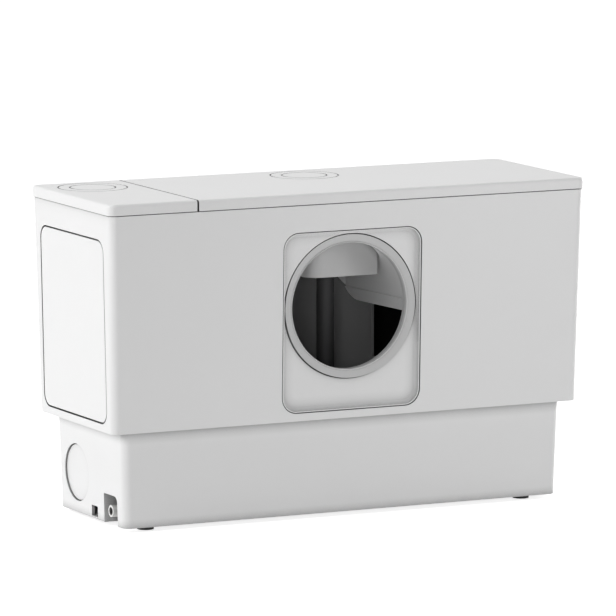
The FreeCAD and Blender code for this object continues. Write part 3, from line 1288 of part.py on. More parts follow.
def board_post_places():
    inset = TRAY_WALL + POST_INSET
    xs = (TRAY_LEFT + inset, TRAY_LEFT + TRAY_LENGTH - inset)
    ys = (TRAY_FRONT + inset, TRAY_FRONT + TRAY_WIDTH - inset)
    return [(x, y) for x in xs for y in ys]


def cover_post_places():
    inset = POST_RADIUS + TRAY_WALL / 2
    middle_y = TRAY_FRONT + TRAY_WIDTH / 2
    return [(TRAY_LEFT + inset, middle_y), (TRAY_LEFT + TRAY_LENGTH - inset, middle_y)]


def control_tray():
    top = STEP_TOP + TRAY_HEIGHT
    body = tray_block(0, STEP_TOP, top).cut(tray_block(TRAY_WALL, TRAY_FLOOR, top))
    for x, y in board_post_places():
        body = body.fuse(post(POST_RADIUS, x, y, TRAY_FLOOR, BOARD_Z))
        body = body.cut(post(SCREW_SHANK, x, y, TRAY_FLOOR, BOARD_Z))
    for x, y in cover_post_places():
        body = body.fuse(post(POST_RADIUS, x, y, TRAY_FLOOR, top))
        body = body.cut(post(SCREW_SHANK, x, y, top - COVER_SCREW, top))
    return body


def control_cover():
    top = STEP_TOP + TRAY_HEIGHT
    body = tray_block(0, top, top + TRAY_WALL)
    return with_holes(body, cover_post_places(), SCREW_HOLE, top, top + TRAY_WALL)


def control_board():
    body = tray_block(TRAY_WALL + BOARD_INSET, BOARD_Z, BOARD_Z + BOARD_THICK)
    body = with_holes(body, board_post_places(), SCREW_HOLE, BOARD_Z, BOARD_Z + BOARD_THICK)
    return with_holes(body, cover_post_places(), POST_RADIUS + FIT, BOARD_Z, BOARD_Z + BOARD_THICK)


def control_screws():
    board_top = BOARD_Z + BOARD_THICK
    cover_top = STEP_TOP + TRAY_HEIGHT + TRAY_WALL
    screws = [screw(x, y, board_top, BOARD_THICK + BOARD_SCREW) for x, y in board_post_places()]
    screws += [screw(x, y, cover_top, COVER_SCREW) for x, y in cover_post_places()]
    return Part.makeCompound(screws)


def capacitor():
    x = TRAY_LEFT + (TRAY_LENGTH - CAPACITOR_LENGTH) / 2
    y = TRAY_FRONT + TRAY_WIDTH / 2 - CAPACITOR_RADIUS - POST_RADIUS
    z = BOARD_Z + BOARD_THICK + CAPACITOR_RADIUS
    body = rod(CAPACITOR_RADIUS, at(x, y, z), at(x + CAPACITOR_LENGTH, y, z))
    ends = [e for e in body.Edges if len(e.Vertexes) == 1]
    return body.makeFillet(CAPACITOR_EDGE, ends)


def terminal_block():
    x = TRAY_LEFT + (TRAY_LENGTH - TERMINAL_LENGTH) / 2
    y = TRAY_FRONT + TRAY_WIDTH / 2 + POST_RADIUS + TRAY_WALL
    z = BOARD_Z + BOARD_THICK
    body = block(x, x + TERMINAL_LENGTH, y, y + TERMINAL_WIDTH, z, z + TERMINAL_HEIGHT)
    pitch = TERMINAL_LENGTH / TERMINAL_WAYS
    for i in range(TERMINAL_WAYS):
        way_x = x + (i + 0.5) * pitch
        body = body.cut(post(pitch / 4, way_x, y + TERMINAL_WIDTH / 2, z + TERMINAL_HEIGHT / 2,
                             z + TERMINAL_HEIGHT))
        body = body.cut(rod(pitch / 4, at(way_x, y, z + TERMINAL_HEIGHT / 3),
                            at(way_x, y + TERMINAL_WIDTH / 2, z + TERMINAL_HEIGHT / 3)))
    return body


def vent_post(radius, z0, z1):
    return post(radius, VENT_X, VENT_Y, z0, z1)


def vent_housing():
    top = TANK_TOP + VENT_HEIGHT
    body = vent_post(VENT_RADIUS, TANK_TOP, top)
    body = body.cut(vent_post(VENT_RADIUS - VENT_WALL, TANK_TOP + VENT_WALL, top - VENT_WALL))
    body = body.cut(vent_post(VENT_HOLE, TANK_TOP, TANK_TOP + VENT_WALL))
    for i in range(VENT_SLOTS):
        x = VENT_X + (i - (VENT_SLOTS - 1) / 2) * 2 * VENT_SLOT_WIDTH
        slot = block(x - VENT_SLOT_WIDTH / 2, x + VENT_SLOT_WIDTH / 2, VENT_Y - VENT_RADIUS / 2,
                     VENT_Y + VENT_RADIUS / 2, top - VENT_WALL, top)
        body = body.cut(slot)
    return body


def carbon_filter():
    z0 = TANK_TOP + VENT_WALL + FIT
    return vent_post(VENT_RADIUS - VENT_WALL - FIT, z0, z0 + FILTER_HEIGHT)


def parts():
    """Every piece of the station by its name."""
    return {
        "lower_casing": lower_casing(),
        "upper_casing": upper_casing(),
        "service_lid": lid(-1, SERVICE_SCORE_X),
        "main_lid": lid(1, MAIN_SCORE_X),
        "side_cover": side_cover(),
        "inlet_plug": inlet_plug(),
        "rubber_feet": rubber_feet(),
        "cable_gland": cable_gland(),
        "gland_nut": gland_nut(),
        "port_collar": port_collar(),
        "port_seal": port_seal(),
        "tank_lower": tank_lower(),
        "tank_gasket": tank_gasket(),
        "tank_upper": tank_upper(),
        "tank_screws": tank_screws(),
        "inlet_chute": inlet_chute(),
        "motor_pod": motor_pod(),
        "motor_cap": motor_cap(),
        "motor_screws": motor_screws(),
        "lower_bearing": bearing(LOWER_BEARING_Z),
        "upper_bearing": bearing(UPPER_BEARING_Z),
        "shaft_seal": shaft_seal(),
        "stator_core": stator_core(),
        "stator_windings": stator_windings(),
        "rotor_core": rotor_core(),
        "motor_shaft": motor_shaft(),
        "shaft_sleeve": shaft_sleeve(),
        "macerator_basket": macerator_basket(),
        "cutter_hub": cutter_hub(),
        "cutter_blades": cutter_blades(),
        "pump_volute": pump_volute(),
        "suction_plate": suction_plate(),
        "impeller": impeller(),
        "impeller_nut": impeller_nut(),
        "riser_elbow": riser_elbow(),
        "check_valve_body": check_valve_body(),
        "check_flap": check_flap(),
        "check_flap_pin": flap_pin(0),
        "discharge_hose": discharge_hose(),
        "hose_clips": hose_clips(),
        "side_inlet_spigot": side_inlet_spigot(),
        "inlet_flap": inlet_flap(),
        "inlet_flap_pin": inlet_pin(0),
        "pressure_bell": pressure_bell(),
        "air_hose": air_hose(),
        "pressure_switch": pressure_switch(),
        "microswitch": microswitch(),
        "switch_plunger": switch_plunger(),
        "switch_spring": switch_spring(),
        "control_tray": control_tray(),
        "control_cover": control_cover(),
        "control_board": control_board(),
        "control_screws": control_screws(),
        "capacitor": capacitor(),
        "terminal_block": terminal_block(),
        "vent_housing": vent_housing(),
        "carbon_filter": carbon_filter(),
    }


os.makedirs("parts", exist_ok=True)
for name, shape in parts().items():
    print(name, "valid" if shape.isValid() else "INVALID", len(shape.Solids), "solids",
          round(shape.Volume / 1000, 1), "cm3")
    shape.exportStep("parts/" + name + ".step")
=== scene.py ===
import math

import bmesh
import bpy
from mathutils import Matrix, Vector


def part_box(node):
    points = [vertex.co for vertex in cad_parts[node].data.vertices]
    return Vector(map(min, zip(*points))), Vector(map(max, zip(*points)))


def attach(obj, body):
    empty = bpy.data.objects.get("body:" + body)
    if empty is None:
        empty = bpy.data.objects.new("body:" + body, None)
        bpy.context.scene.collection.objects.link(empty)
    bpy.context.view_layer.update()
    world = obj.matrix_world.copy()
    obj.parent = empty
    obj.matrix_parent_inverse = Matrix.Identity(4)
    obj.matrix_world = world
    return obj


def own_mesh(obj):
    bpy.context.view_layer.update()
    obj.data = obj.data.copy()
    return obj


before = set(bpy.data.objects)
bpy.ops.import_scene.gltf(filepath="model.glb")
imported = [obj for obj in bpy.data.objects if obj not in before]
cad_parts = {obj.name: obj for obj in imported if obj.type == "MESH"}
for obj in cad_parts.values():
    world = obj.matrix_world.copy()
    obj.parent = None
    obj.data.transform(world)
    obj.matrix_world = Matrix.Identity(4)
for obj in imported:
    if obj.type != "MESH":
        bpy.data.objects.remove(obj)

bl_info = {
    "name": "Sewage Lifting Station",
    "version": (1, 0, 0),
    "blender": (4, 5, 0),
    "location": "View3D > Sidebar > Station",
    "description": "Finishes and small parts for a slim floor-standing lifting station",
    "category": "Object",
}

MM = 0.001
FLOW_LENGTH = 60 * MM  # between the cloudy patches where the melt flowed
# The next two shares of open space shape the painted shade that ambient occlusion puts on moulded faces.
PAINTED_SHADE_FULL = 0.26  # share of open space at which a moulded face is darkest
PAINTED_SHADE_GONE = 0.96  # share of open space from which it has its plain colour
SHINE_SPREAD = 0.15  # how unevenly a moulded face shines
MARK_SPREAD = 0.2  # how unevenly a worked metal shines
WAVE_FACTOR = 20  # what Blender's wave texture multiplies its place by
WELD = 0.01 * MM  # how near two points are when they are made one
CRISP_ANGLE = math.radians(40)  # the least turn that stays a sharp edge
CAN_PROFILE = ((0.0, 0.0), (0.88, 0.0), (1.0, 0.08), (1.0, 0.16), (0.88, 0.22), (1.0, 0.28),
               (1.0, 0.95), (0.88, 1.0), (0.616, 0.98), (0.0, 0.98))  # shares of a can's radius and height
# Each lamp and the setting of its distance, then its way from what it lights and its width, both as
# shares of that distance.
LAMPS = (("left_lamp", "lamp_distance", (-1, 1 / 8, 1 / 3), 1 / 2),
         ("front_lamp", "lamp_distance", (-0.62, -1, 1 / 6), 1 / 5),
         ("right_lamp", "right_distance", (0.7, -1, 1 / 10), 1 / 2),
         ("end_lamp", "lamp_distance", (1, 1 / 3, 1 / 6), 1 / 2),
         ("top_lamp", "lamp_distance", (-1 / 4, 0, 1), 1 / 2))


def linear(hex_colour):
    """The linear colour of an sRGB hex value."""
    channels = [int(hex_colour[i:i + 2], 16) / 255 for i in (1, 3, 5)]
    return tuple(c / 12.92 if c <= 0.04045 else ((c + 0.055) / 1.055) ** 2.4 for c in channels)


def add(tree, kind, inputs=None, **settings):
    """Adds a node, sets its properties, and fills or links its inputs by name or number."""
    node = tree.nodes.new(kind)
    for name, value in settings.items():
        setattr(node, name, value)
    for name, value in (inputs or {}).items():
        if isinstance(value, bpy.types.NodeSocket):
            tree.links.new(value, node.inputs[name])
        else:
            node.inputs[name].default_value = value
    return node


def new_material(name, colour, roughness, metallic=0.0, ior=1.5):
    """The material of that name, made or emptied, with its shader's plain values set."""
    material = bpy.data.materials.get(name) or bpy.data.materials.new(name)
    material.use_nodes = True
    material.diffuse_color = (*colour, 1.0)
    tree = material.node_tree
    tree.nodes.clear()
    shader = add(tree, "ShaderNodeBsdfPrincipled", {"Base Color": (*colour, 1.0), "Roughness": roughness,
                                                    "Metallic": metallic})
    if not metallic:
        shader.inputs["IOR"].default_value = ior
    add(tree, "ShaderNodeOutputMaterial", {"Surface": shader.outputs["BSDF"]})
    return material, tree, shader


def finish(material, *names):
    """Gives CAD nodes one material in each of their slots."""
    for name in names:
        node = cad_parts[name]
        if not node.material_slots:
            node.data.materials.append(material)
        for slot in node.material_slots:
            slot.material = material


def shaded(colour, factor):
    """A colour made darker or lighter, with the fourth value that a node's socket takes."""
    return (*(channel * factor for channel in colour), 1.0)


def moulded(name, colour, roughness, grain, depth, edge, ior=1.5, mottle=0.04, painted_shade_reach=6 * MM, painted_shade_darkest=0.4):
    """A moulded plastic or rubber: grain of one size and depth, softened edges, and a slight mottle.

    The grain is the texture of the mould's steel, drawn coarser than the real one so that it shows, and
    the mottle is how the melt flowed. The colour also carries painted shade: joints, slots and inner
    corners within a given distance of a facing wall are painted darker by ambient occlusion, down to a
    given share of the colour, where shade would fall.
    """
    material, tree, shader = new_material(name, colour, roughness, ior=ior)
    place = add(tree, "ShaderNodeTexCoord").outputs["Object"]
    flow = add(tree, "ShaderNodeTexNoise", {"Vector": place, "Scale": 1 / FLOW_LENGTH, "Detail": 3.0})
    tone = add(tree, "ShaderNodeMix", {"Factor": flow.outputs["Fac"], 6: shaded(colour, 1 - mottle),
                                       7: shaded(colour, 1.0)}, data_type="RGBA")
    # Painted shade: the colour darkens where ambient occlusion finds facing walls near.
    near = add(tree, "ShaderNodeAmbientOcclusion", {"Distance": painted_shade_reach}, samples=8)
    unshaded_share = add(tree, "ShaderNodeMapRange", {"Value": near.outputs["AO"], "From Min": PAINTED_SHADE_FULL,
                                                  "From Max": PAINTED_SHADE_GONE})
    face = add(tree, "ShaderNodeMix", {"Factor": unshaded_share.outputs["Result"], 6: shaded(colour, painted_shade_darkest),
                                       7: tone.outputs[2]}, data_type="RGBA")
    tree.links.new(face.outputs[2], shader.inputs["Base Color"])
    fine = add(tree, "ShaderNodeTexNoise", {"Vector": place, "Scale": 1 / grain, "Detail": 2.0})
    spread = add(tree, "ShaderNodeMapRange", {"Value": fine.outputs["Fac"],
                                              "To Min": roughness * (1 - SHINE_SPREAD),
                                              "To Max": min(roughness * (1 + SHINE_SPREAD), 1.0)})
    tree.links.new(spread.outputs["Result"], shader.inputs["Roughness"])
    soft = add(tree, "ShaderNodeBevel", {"Radius": edge}, samples=6)
    bump = add(tree, "ShaderNodeBump", {"Height": fine.outputs["Fac"], "Distance": depth,
                                        "Strength": 1.0, "Normal": soft.outputs["Normal"]})
    tree.links.new(bump.outputs["Normal"], shader.inputs["Normal"])
    return material


def white_abs():
    """Satin white ABS, injection moulded: bright and even, with soft broad reflections."""
    settings = bpy.context.scene.station_casing
    # The casings get strong painted shade in joints, slots and inner corners, down to 3 % of their colour.
    return moulded("Moulded white ABS", settings.white, roughness=settings.roughness, grain=1.2 * MM,
                   depth=0.004 * MM, edge=settings.edge, ior=1.53, mottle=0.01, painted_shade_reach=settings.painted_shade_reach,
                   painted_shade_darkest=0.03)


def grey_collar():
    """Satin grey polypropylene, moulded and then turned on its face: flat light grey, little shine."""
    settings = bpy.context.scene.station_port
    return moulded("Satin grey polypropylene", settings.collar, roughness=0.42, grain=0.8 * MM,
                   depth=0.006 * MM, edge=0.4 * MM, ior=1.49, mottle=0.03)


def pale_elastomer():
    """Pale moulded elastomer: a bright smooth lip with a soft sheen."""
    settings = bpy.context.scene.station_port
    return moulded("Pale moulded elastomer", settings.lip, roughness=0.38, grain=0.6 * MM,
                   depth=0.004 * MM, edge=0.25 * MM)


def natural_polypropylene():
    """Natural moulded polypropylene of the chute: off-white, waxy and slightly cloudy."""
    settings = bpy.context.scene.station_works
    # Faint painted shade in its corners, down to 85 % of its colour.
    return moulded("Natural moulded polypropylene", settings.chute, roughness=0.50, grain=0.9 * MM,
                   depth=0.010 * MM, edge=0.4 * MM, ior=1.49, mottle=0.02, painted_shade_darkest=0.85)


def light_polypropylene():
    """Light grey moulded polypropylene: matt, slightly cloudy, as inside parts are."""
    settings = bpy.context.scene.station_works
    return moulded("Light grey moulded polypropylene", settings.light_grey, roughness=0.46,
                   grain=0.9 * MM, depth=0.010 * MM, edge=0.8 * MM, ior=1.49, mottle=0.05)


def dark_polypropylene():
    """Dark grey moulded polypropylene with a soft sheen, as pump housings have."""
    settings = bpy.context.scene.station_works
    return moulded("Dark grey moulded polypropylene", settings.dark_grey, roughness=0.40, grain=0.9 * MM,
                   depth=0.010 * MM, edge=0.6 * MM, ior=1.49, mottle=0.08)


def filled_polypropylene():
    """Mineral-filled grey polypropylene: stiff and matt, so that the light from the port spreads on it."""
    settings = bpy.context.scene.station_works
    # Painted shade in its corners, down to 60 % of its colour.
    return moulded("Mineral-filled grey polypropylene", settings.basket, roughness=0.62, grain=0.9 * MM,
                   depth=0.010 * MM, edge=0.6 * MM, ior=1.49, mottle=0.06, painted_shade_darkest=0.6)


def black_polypropylene():
    """Black moulded polypropylene: the tank's shells, which stay dark behind the port."""
    settings = bpy.context.scene.station_works
    return moulded("Black moulded polypropylene", settings.black, roughness=0.55, grain=1.0 * MM,
                   depth=0.015 * MM, edge=0.6 * MM, ior=1.49, mottle=0.10)


def sleeve_acetal():
    """Dark grey acetal of the sleeve round the motor's shaft: dense, smooth and hardly shiny."""
    settings = bpy.context.scene.station_works
    return moulded("Dark grey acetal", settings.sleeve, roughness=0.66, grain=0.6 * MM, depth=0.006 * MM,
                   edge=0.4 * MM, ior=1.48, mottle=0.10)


def epdm_rubber():
    """Black moulded EPDM rubber: deep black, matt, with a fine bloom on it."""
    settings = bpy.context.scene.station_works
    return moulded("Black moulded EPDM rubber", settings.rubber, roughness=0.68, grain=0.7 * MM,
                   depth=0.030 * MM, edge=0.5 * MM, ior=1.52, mottle=0.20)


def polyamide(name, colour):
    """Moulded polyamide for fittings and control housings: even colour, satin, crisp edges."""
    # Strong painted shade within 12 mm of facing walls, down to 5 % of the colour.
    return moulded(name, colour, roughness=0.36, grain=0.7 * MM, depth=0.008 * MM, edge=0.35 * MM,
                   ior=1.53, mottle=0.03, painted_shade_reach=12 * MM, painted_shade_darkest=0.05)


def white_polyamide():
    """Moulded polyamide in white, for the gland, the valve and the other fittings."""
    return polyamide("White moulded polyamide", bpy.context.scene.station_works.fitting)


def grey_polyamide():
    """Moulded polyamide in blue-grey, for the control housings."""
    return polyamide("Grey moulded polyamide", bpy.context.scene.station_works.housing)


def black_polyamide():
    """Moulded polyamide in black, for the small control parts."""
    return polyamide("Black moulded polyamide", bpy.context.scene.station_works.rubber)


def wave_scale(period):
    """The scale at which a wave texture repeats once in a real distance."""
    return math.tau / WAVE_FACTOR / period


def worked_metal(name, colour, roughness, period, direction, depth, edge=0.15 * MM, streak=0.12):
    """A metal with its tool marks: bands along one way, a little uneven in tone and shine."""
    material, tree, shader = new_material(name, colour, roughness, metallic=1.0)
    place = add(tree, "ShaderNodeTexCoord").outputs["Object"]
    marks = add(tree, "ShaderNodeTexWave", {"Vector": place, "Scale": wave_scale(period),
                                            "Distortion": 1.5, "Detail": 2.0, "Detail Scale": 1.5},
                wave_type="BANDS", bands_direction=direction)
    tone = add(tree, "ShaderNodeMix", {"Factor": marks.outputs["Fac"], 6: shaded(colour, 1 - streak),
                                       7: shaded(colour, 1.0)}, data_type="RGBA")
    tree.links.new(tone.outputs[2], shader.inputs["Base Color"])
    spread = add(tree, "ShaderNodeMapRange", {"Value": marks.outputs["Fac"],
                                              "To Min": roughness * (1 - MARK_SPREAD),
                                              "To Max": roughness * (1 + MARK_SPREAD)})
    tree.links.new(spread.outputs["Result"], shader.inputs["Roughness"])
    soft = add(tree, "ShaderNodeBevel", {"Radius": edge}, samples=4)
    bump = add(tree, "ShaderNodeBump", {"Height": marks.outputs["Fac"], "Distance": depth,
                                        "Strength": 1.0, "Normal": soft.outputs["Normal"]})
    tree.links.new(bump.outputs["Normal"], shader.inputs["Normal"])
    return material


def turned_stainless():
    """Stainless steel turned on a lathe: bright grey, with fine rings from the tool, drawn 0.4 mm apart."""
    colour = bpy.context.scene.station_works.steel
    return worked_metal("Turned stainless steel", colour, roughness=0.24, period=0.4 * MM, direction="Z",
                        depth=0.004 * MM)


def ground_stainless():
    """Stainless sheet ground flat: satin streaks one way along the blades and bands."""
    colour = bpy.context.scene.station_works.steel
    return worked_metal("Ground stainless sheet", colour, roughness=0.30, period=0.5 * MM,
                        direction="DIAGONAL", depth=0.003 * MM)


def zinc_plated_steel():
    """Zinc-plated steel screws: pale blue-grey, bright but not polished."""
    return worked_metal("Zinc-plated steel", linear("#B9BDC1"), roughness=0.32, period=0.6 * MM,
                        direction="Z", depth=0.002 * MM)


def stacked_sheet():
    """Electrical steel sheets in a stack: dull dark edges, 0.5 mm sheets drawn at 1 mm so that they show."""
    return worked_metal("Stacked electrical steel", linear("#5C5E61"), roughness=0.48, period=1.0 * MM,
                        direction="Z", depth=0.10 * MM, streak=0.45)


def enamelled_copper():
    """Copper wire under amber enamel, 0.8 mm thick, wound round and round: rows with a warm gloss."""
    return worked_metal("Enamelled copper winding", linear("#B06A3C"), roughness=0.30, period=0.8 * MM,
                        direction="Z", depth=0.20 * MM, streak=0.55)


def drawn_aluminium():
    """Drawn aluminium can: light, with faint lines along the draw."""
    return worked_metal("Drawn aluminium can", linear("#D2D3D4"), roughness=0.34, period=0.5 * MM,
                        direction="X", depth=0.003 * MM)


def spring_steel():
    """Spring wire, 0.8 mm thick: its turns show as even ridges with dark gaps."""
    return worked_metal("Coiled spring steel", linear("#A9A9A8"), roughness=0.30, period=1.4 * MM,
                        direction="Z", depth=0.40 * MM, streak=0.75)


def coated_laminate():
    """Glass-epoxy board under green solder resist: glossy, with fine raised tracks in it."""
    colour = linear("#1F5A34")
    material, tree, shader = new_material("Green coated laminate", colour, 0.26, ior=1.55)
    place = add(tree, "ShaderNodeTexCoord").outputs["Object"]
    tracks = add(tree, "ShaderNodeTexBrick", {"Vector": place, "Scale": 1 / (14 * MM),
                                              "Mortar Size": 0.05, "Mortar Smooth": 0.2,
                                              "Color1": shaded(colour, 1.0),
                                              "Color2": shaded(colour, 0.9),
                                              "Mortar": shaded(colour, 1.5)})
    tree.links.new(tracks.outputs["Color"], shader.inputs["Base Color"])
    bump = add(tree, "ShaderNodeBump", {"Height": tracks.outputs["Fac"], "Distance": 0.04 * MM,
                                        "Strength": 1.0})
    tree.links.new(bump.outputs["Normal"], shader.inputs["Normal"])
    return material


def carbon_foam():
    """Open foam dusted with activated carbon: black, with pores about 1.5 mm across."""
    colour = linear("#262626")
    material, tree, shader = new_material("Carbon-coated open foam", colour, 0.95)
    place = add(tree, "ShaderNodeTexCoord").outputs["Object"]
    pores = add(tree, "ShaderNodeTexVoronoi", {"Vector": place, "Scale": 1 / (1.5 * MM)},
                feature="DISTANCE_TO_EDGE")
    tone = add(tree, "ShaderNodeMix", {"Factor": pores.outputs["Distance"], 6: shaded(colour, 1.6),
                                       7: shaded(colour, 0.3)}, data_type="RGBA")
    tree.links.new(tone.outputs[2], shader.inputs["Base Color"])
    bump = add(tree, "ShaderNodeBump", {"Height": pores.outputs["Distance"], "Distance": 0.8 * MM,
                                        "Strength": 1.0}, invert=True)
    tree.links.new(bump.outputs["Normal"], shader.inputs["Normal"])
    return material


def colour_setting(name, description, hex_colour):
    """A colour that the user can change, with its default as an sRGB hex value."""
    return bpy.props.FloatVectorProperty(name=name, description=description, subtype="COLOR", size=3,
                                         min=0.0, max=1.0, default=linear(hex_colour))


def length_setting(name, description, millimetres):
    """A length that the user can change, with its default in millimetres."""
    return bpy.props.FloatProperty(name=name, description=description, unit="LENGTH", min=0.0,
                                   default=millimetres * MM)


class CasingSettings(bpy.types.PropertyGroup):
    white: colour_setting("White", "Colour of the casings, lids, cover and plug", "#F1F1F1")
    roughness: bpy.props.FloatProperty(name="Roughness", description="How matt the casings are",
                                       subtype="FACTOR", min=0.0, max=1.0, default=0.34)
    edge: length_setting("Edge", "Rounding that the light shows on the casings' edges", 0.4)
    # Reach of the painted shade in the casings' joints and inner corners.
    painted_shade_reach: length_setting("Crease", "How far from an inner corner the casings darken", 12.0)


class PortSettings(bpy.types.PropertyGroup):
    collar: colour_setting("Collar", "Colour of the ring round the port", "#D2D2D2")
    lip: colour_setting("Lip", "Colour of the port's lip seal", "#E4E4E4")


class WorksSettings(bpy.types.PropertyGroup):
    light_grey: colour_setting("Light grey", "Colour of the motor's pod and the vent", "#D2D2D2")
    chute: colour_setting("Chute", "Colour of the chute behind the port", "#F4F4F4")
    basket: colour_setting("Basket", "Colour of the macerator's basket", "#989899")
    sleeve: colour_setting("Sleeve", "Colour of the sleeve round the shaft", "#3C3C3D")
    dark_grey: colour_setting("Dark grey", "Colour of the pump and the bell", "#4A4A4B")
    black: colour_setting("Black", "Colour of the tank's shells", "#0F0F0F")
    rubber: colour_setting("Rubber", "Colour of the hoses, feet and seals", "#1E1E1E")
    steel: colour_setting("Steel", "Colour of the stainless pieces", "#C3C3C2")
    fitting: colour_setting("Fitting", "Colour of the gland, valve and inlet fittings", "#EDEDEB")
    housing: colour_setting("Housing", "Colour of the control housings", "#7C8086")


class BoardSettings(bpy.types.PropertyGroup):
    relay_height: length_setting("Relay height", "How tall the relay stands on the board", 15.5)
    relay_side: length_setting("Relay side", "How wide and deep the relay and transformer are", 13.0)
    can_radius: length_setting("Can radius", "Radius of the small upright capacitors", 2.6)
    can_height: length_setting("Can height", "Height of the small upright capacitors", 9.0)
    gap: length_setting("Gap", "Space between the terminals and the parts beside them", 3.0)
    can_count: bpy.props.IntProperty(name="Can count", description="How many small capacitors there are",
                                     min=1, max=8, default=5)


class StageSettings(bpy.types.PropertyGroup):
    floor: colour_setting("Floor", "Colour of the floor", "#F4F4F4")
    floor_size: length_setting("Floor size", "Length of each side of the floor", 40000.0)
    floor_lift: bpy.props.FloatProperty(name="Floor lift", subtype="FACTOR", min=0.0, max=1.0, default=0.8,
                                        description="How much whiter the camera sees the floor")
    azimuth: bpy.props.FloatProperty(name="Azimuth", description="Camera's turn round the station",
                                     subtype="ANGLE", default=math.radians(-26.1972))
    elevation: bpy.props.FloatProperty(name="Elevation", description="Camera's angle above level",
                                       subtype="ANGLE", default=math.radians(7.9197))
    distance: length_setting("Distance", "From the camera to the point that it looks at", 5673.9)
    lens: bpy.props.FloatProperty(name="Lens", description="Focal length in millimetres", min=1.0,
                                  default=372.4)
    aim: bpy.props.FloatVectorProperty(name="Aim", description="Point that the camera looks at", size=3,
                                       subtype="TRANSLATION",
                                       default=(-38.35 * MM, -75.0 * MM, 191.19 * MM))
    sky: bpy.props.FloatProperty(name="Sky", description="Strength of the even light from all round",
                                 min=0.0, default=0.30)
    right_distance: length_setting("Right distance", "From the right lamp to what it lights", 900.0)
    lamp_distance: length_setting("Lamp distance", "From every other lamp to what it lights", 2500.0)
    left_lamp: bpy.props.FloatProperty(name="Left lamp", description="Power of the soft lamp at the left",
                                       unit="POWER", min=0.0, default=27.5)
    front_lamp: bpy.props.FloatProperty(name="Front lamp", description="Power of the lamp before the port",
                                        unit="POWER", min=0.0, default=5.5)
    right_lamp: bpy.props.FloatProperty(name="Right lamp", description="Power of the soft lamp at the right",
                                        unit="POWER", min=0.0, default=1.3)
    end_lamp: bpy.props.FloatProperty(name="End lamp", description="Power of the soft lamp at the right end",
                                      unit="POWER", min=0.0, default=30.0)
    top_lamp: bpy.props.FloatProperty(name="Top lamp", description="Power of the soft lamp overhead",
                                      unit="POWER", min=0.0, default=15.5)


def rounded_block(mesh, low, high, edge):
    """Adds a block between two corners to a mesh, with its edges rounded."""
    low, high = Vector(low), Vector(high)
    place = Matrix.LocRotScale((low + high) / 2, None, high - low)
    corners = bmesh.ops.create_cube(mesh, size=1.0, matrix=place)["verts"]
    edges = list({line for corner in corners for line in corner.link_edges})
    bmesh.ops.bevel(mesh, geom=edges, offset=edge, segments=2, profile=0.5, affect="EDGES")


def turned(mesh, centre, profile, sides=28):
    """Adds a round piece to a mesh: points of (radius, height) spun about an upright line."""
    centre = Vector(centre)
    points = [mesh.verts.new(centre + Vector((radius, 0.0, height))) for radius, height in profile]
    lines = [mesh.edges.new(pair) for pair in zip(points, points[1:])]
    bmesh.ops.spin(mesh, geom=points + lines, cent=centre, axis=(0, 0, 1), angle=math.tau,
                   steps=sides, use_merge=True)
    bmesh.ops.remove_doubles(mesh, verts=mesh.verts, dist=WELD)


def piece(name, mesh, material):
    """Makes an object of a mesh under construction, which stays with the casing."""
    old = bpy.data.objects.get(name)
    if old:
        bpy.data.objects.remove(old)
    bmesh.ops.recalc_face_normals(mesh, faces=mesh.faces)
    data = bpy.data.meshes.new(name)
    mesh.to_mesh(data)
    mesh.free()
    data.materials.append(material)
    data.shade_smooth()
    made = bpy.data.objects.new(name, data)
    bpy.context.scene.collection.objects.link(made)
    sharpen = made.modifiers.new("Crisp edges", "EDGE_SPLIT")
    sharpen.split_angle = CRISP_ANGLE
    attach(made, "casing")


class STATION_OT_casings(bpy.types.Operator):
    """Finish both casings, the lids, the side cover and the round plug"""
    bl_idname = "station.casings"
    bl_label = "Casings and Lids"

    def execute(self, context):
        finish(white_abs(), "lower_casing", "upper_casing", "main_lid", "service_lid", "side_cover",
               "inlet_plug")
        return {"FINISHED"}


class STATION_OT_port(bpy.types.Operator):
    """Finish the port's collar and its lip seal"""
    bl_idname = "station.port"
    bl_label = "Port"

    def execute(self, context):
        finish(grey_collar(), "port_collar")
        finish(pale_elastomer(), "port_seal")
        return {"FINISHED"}


class STATION_OT_feet(bpy.types.Operator):
    """Finish the four feet"""
    bl_idname = "station.feet"
    bl_label = "Feet"

    def execute(self, context):
        finish(epdm_rubber(), "rubber_feet")
        return {"FINISHED"}


class STATION_OT_gland(bpy.types.Operator):
    """Finish the cord's gland and its nut"""
    bl_idname = "station.gland"
    bl_label = "Cord Gland"

    def execute(self, context):
        finish(white_polyamide(), "cable_gland", "gland_nut")
        return {"FINISHED"}


class STATION_OT_tank(bpy.types.Operator):
    """Finish the tank's shells and gasket, and the chute that the port opens into"""
    bl_idname = "station.tank"
    bl_label = "Tank and Chute"

    def execute(self, context):
        finish(black_polypropylene(), "tank_lower", "tank_upper")
        finish(natural_polypropylene(), "inlet_chute")
        finish(epdm_rubber(), "tank_gasket")
        finish(zinc_plated_steel(), "tank_screws")
        return {"FINISHED"}


class STATION_OT_motor(bpy.types.Operator):
    """Finish the motor: pod, cap, stator, rotor, shaft, bearings, seal and screws"""
    bl_idname = "station.motor"
    bl_label = "Motor"

    def execute(self, context):
        finish(light_polypropylene(), "motor_pod", "motor_cap")
        finish(stacked_sheet(), "stator_core", "rotor_core")
        finish(enamelled_copper(), "stator_windings")
        finish(turned_stainless(), "motor_shaft", "lower_bearing", "upper_bearing")
        finish(sleeve_acetal(), "shaft_sleeve")
        finish(epdm_rubber(), "shaft_seal")
        finish(zinc_plated_steel(), "motor_screws")
        return {"FINISHED"}


class STATION_OT_macerator(bpy.types.Operator):
    """Finish the basket and the blades that turn in it"""
    bl_idname = "station.macerator"
    bl_label = "Macerator"

    def execute(self, context):
        finish(filled_polypropylene(), "macerator_basket")
        finish(turned_stainless(), "cutter_hub")
        finish(ground_stainless(), "cutter_blades")
        return {"FINISHED"}


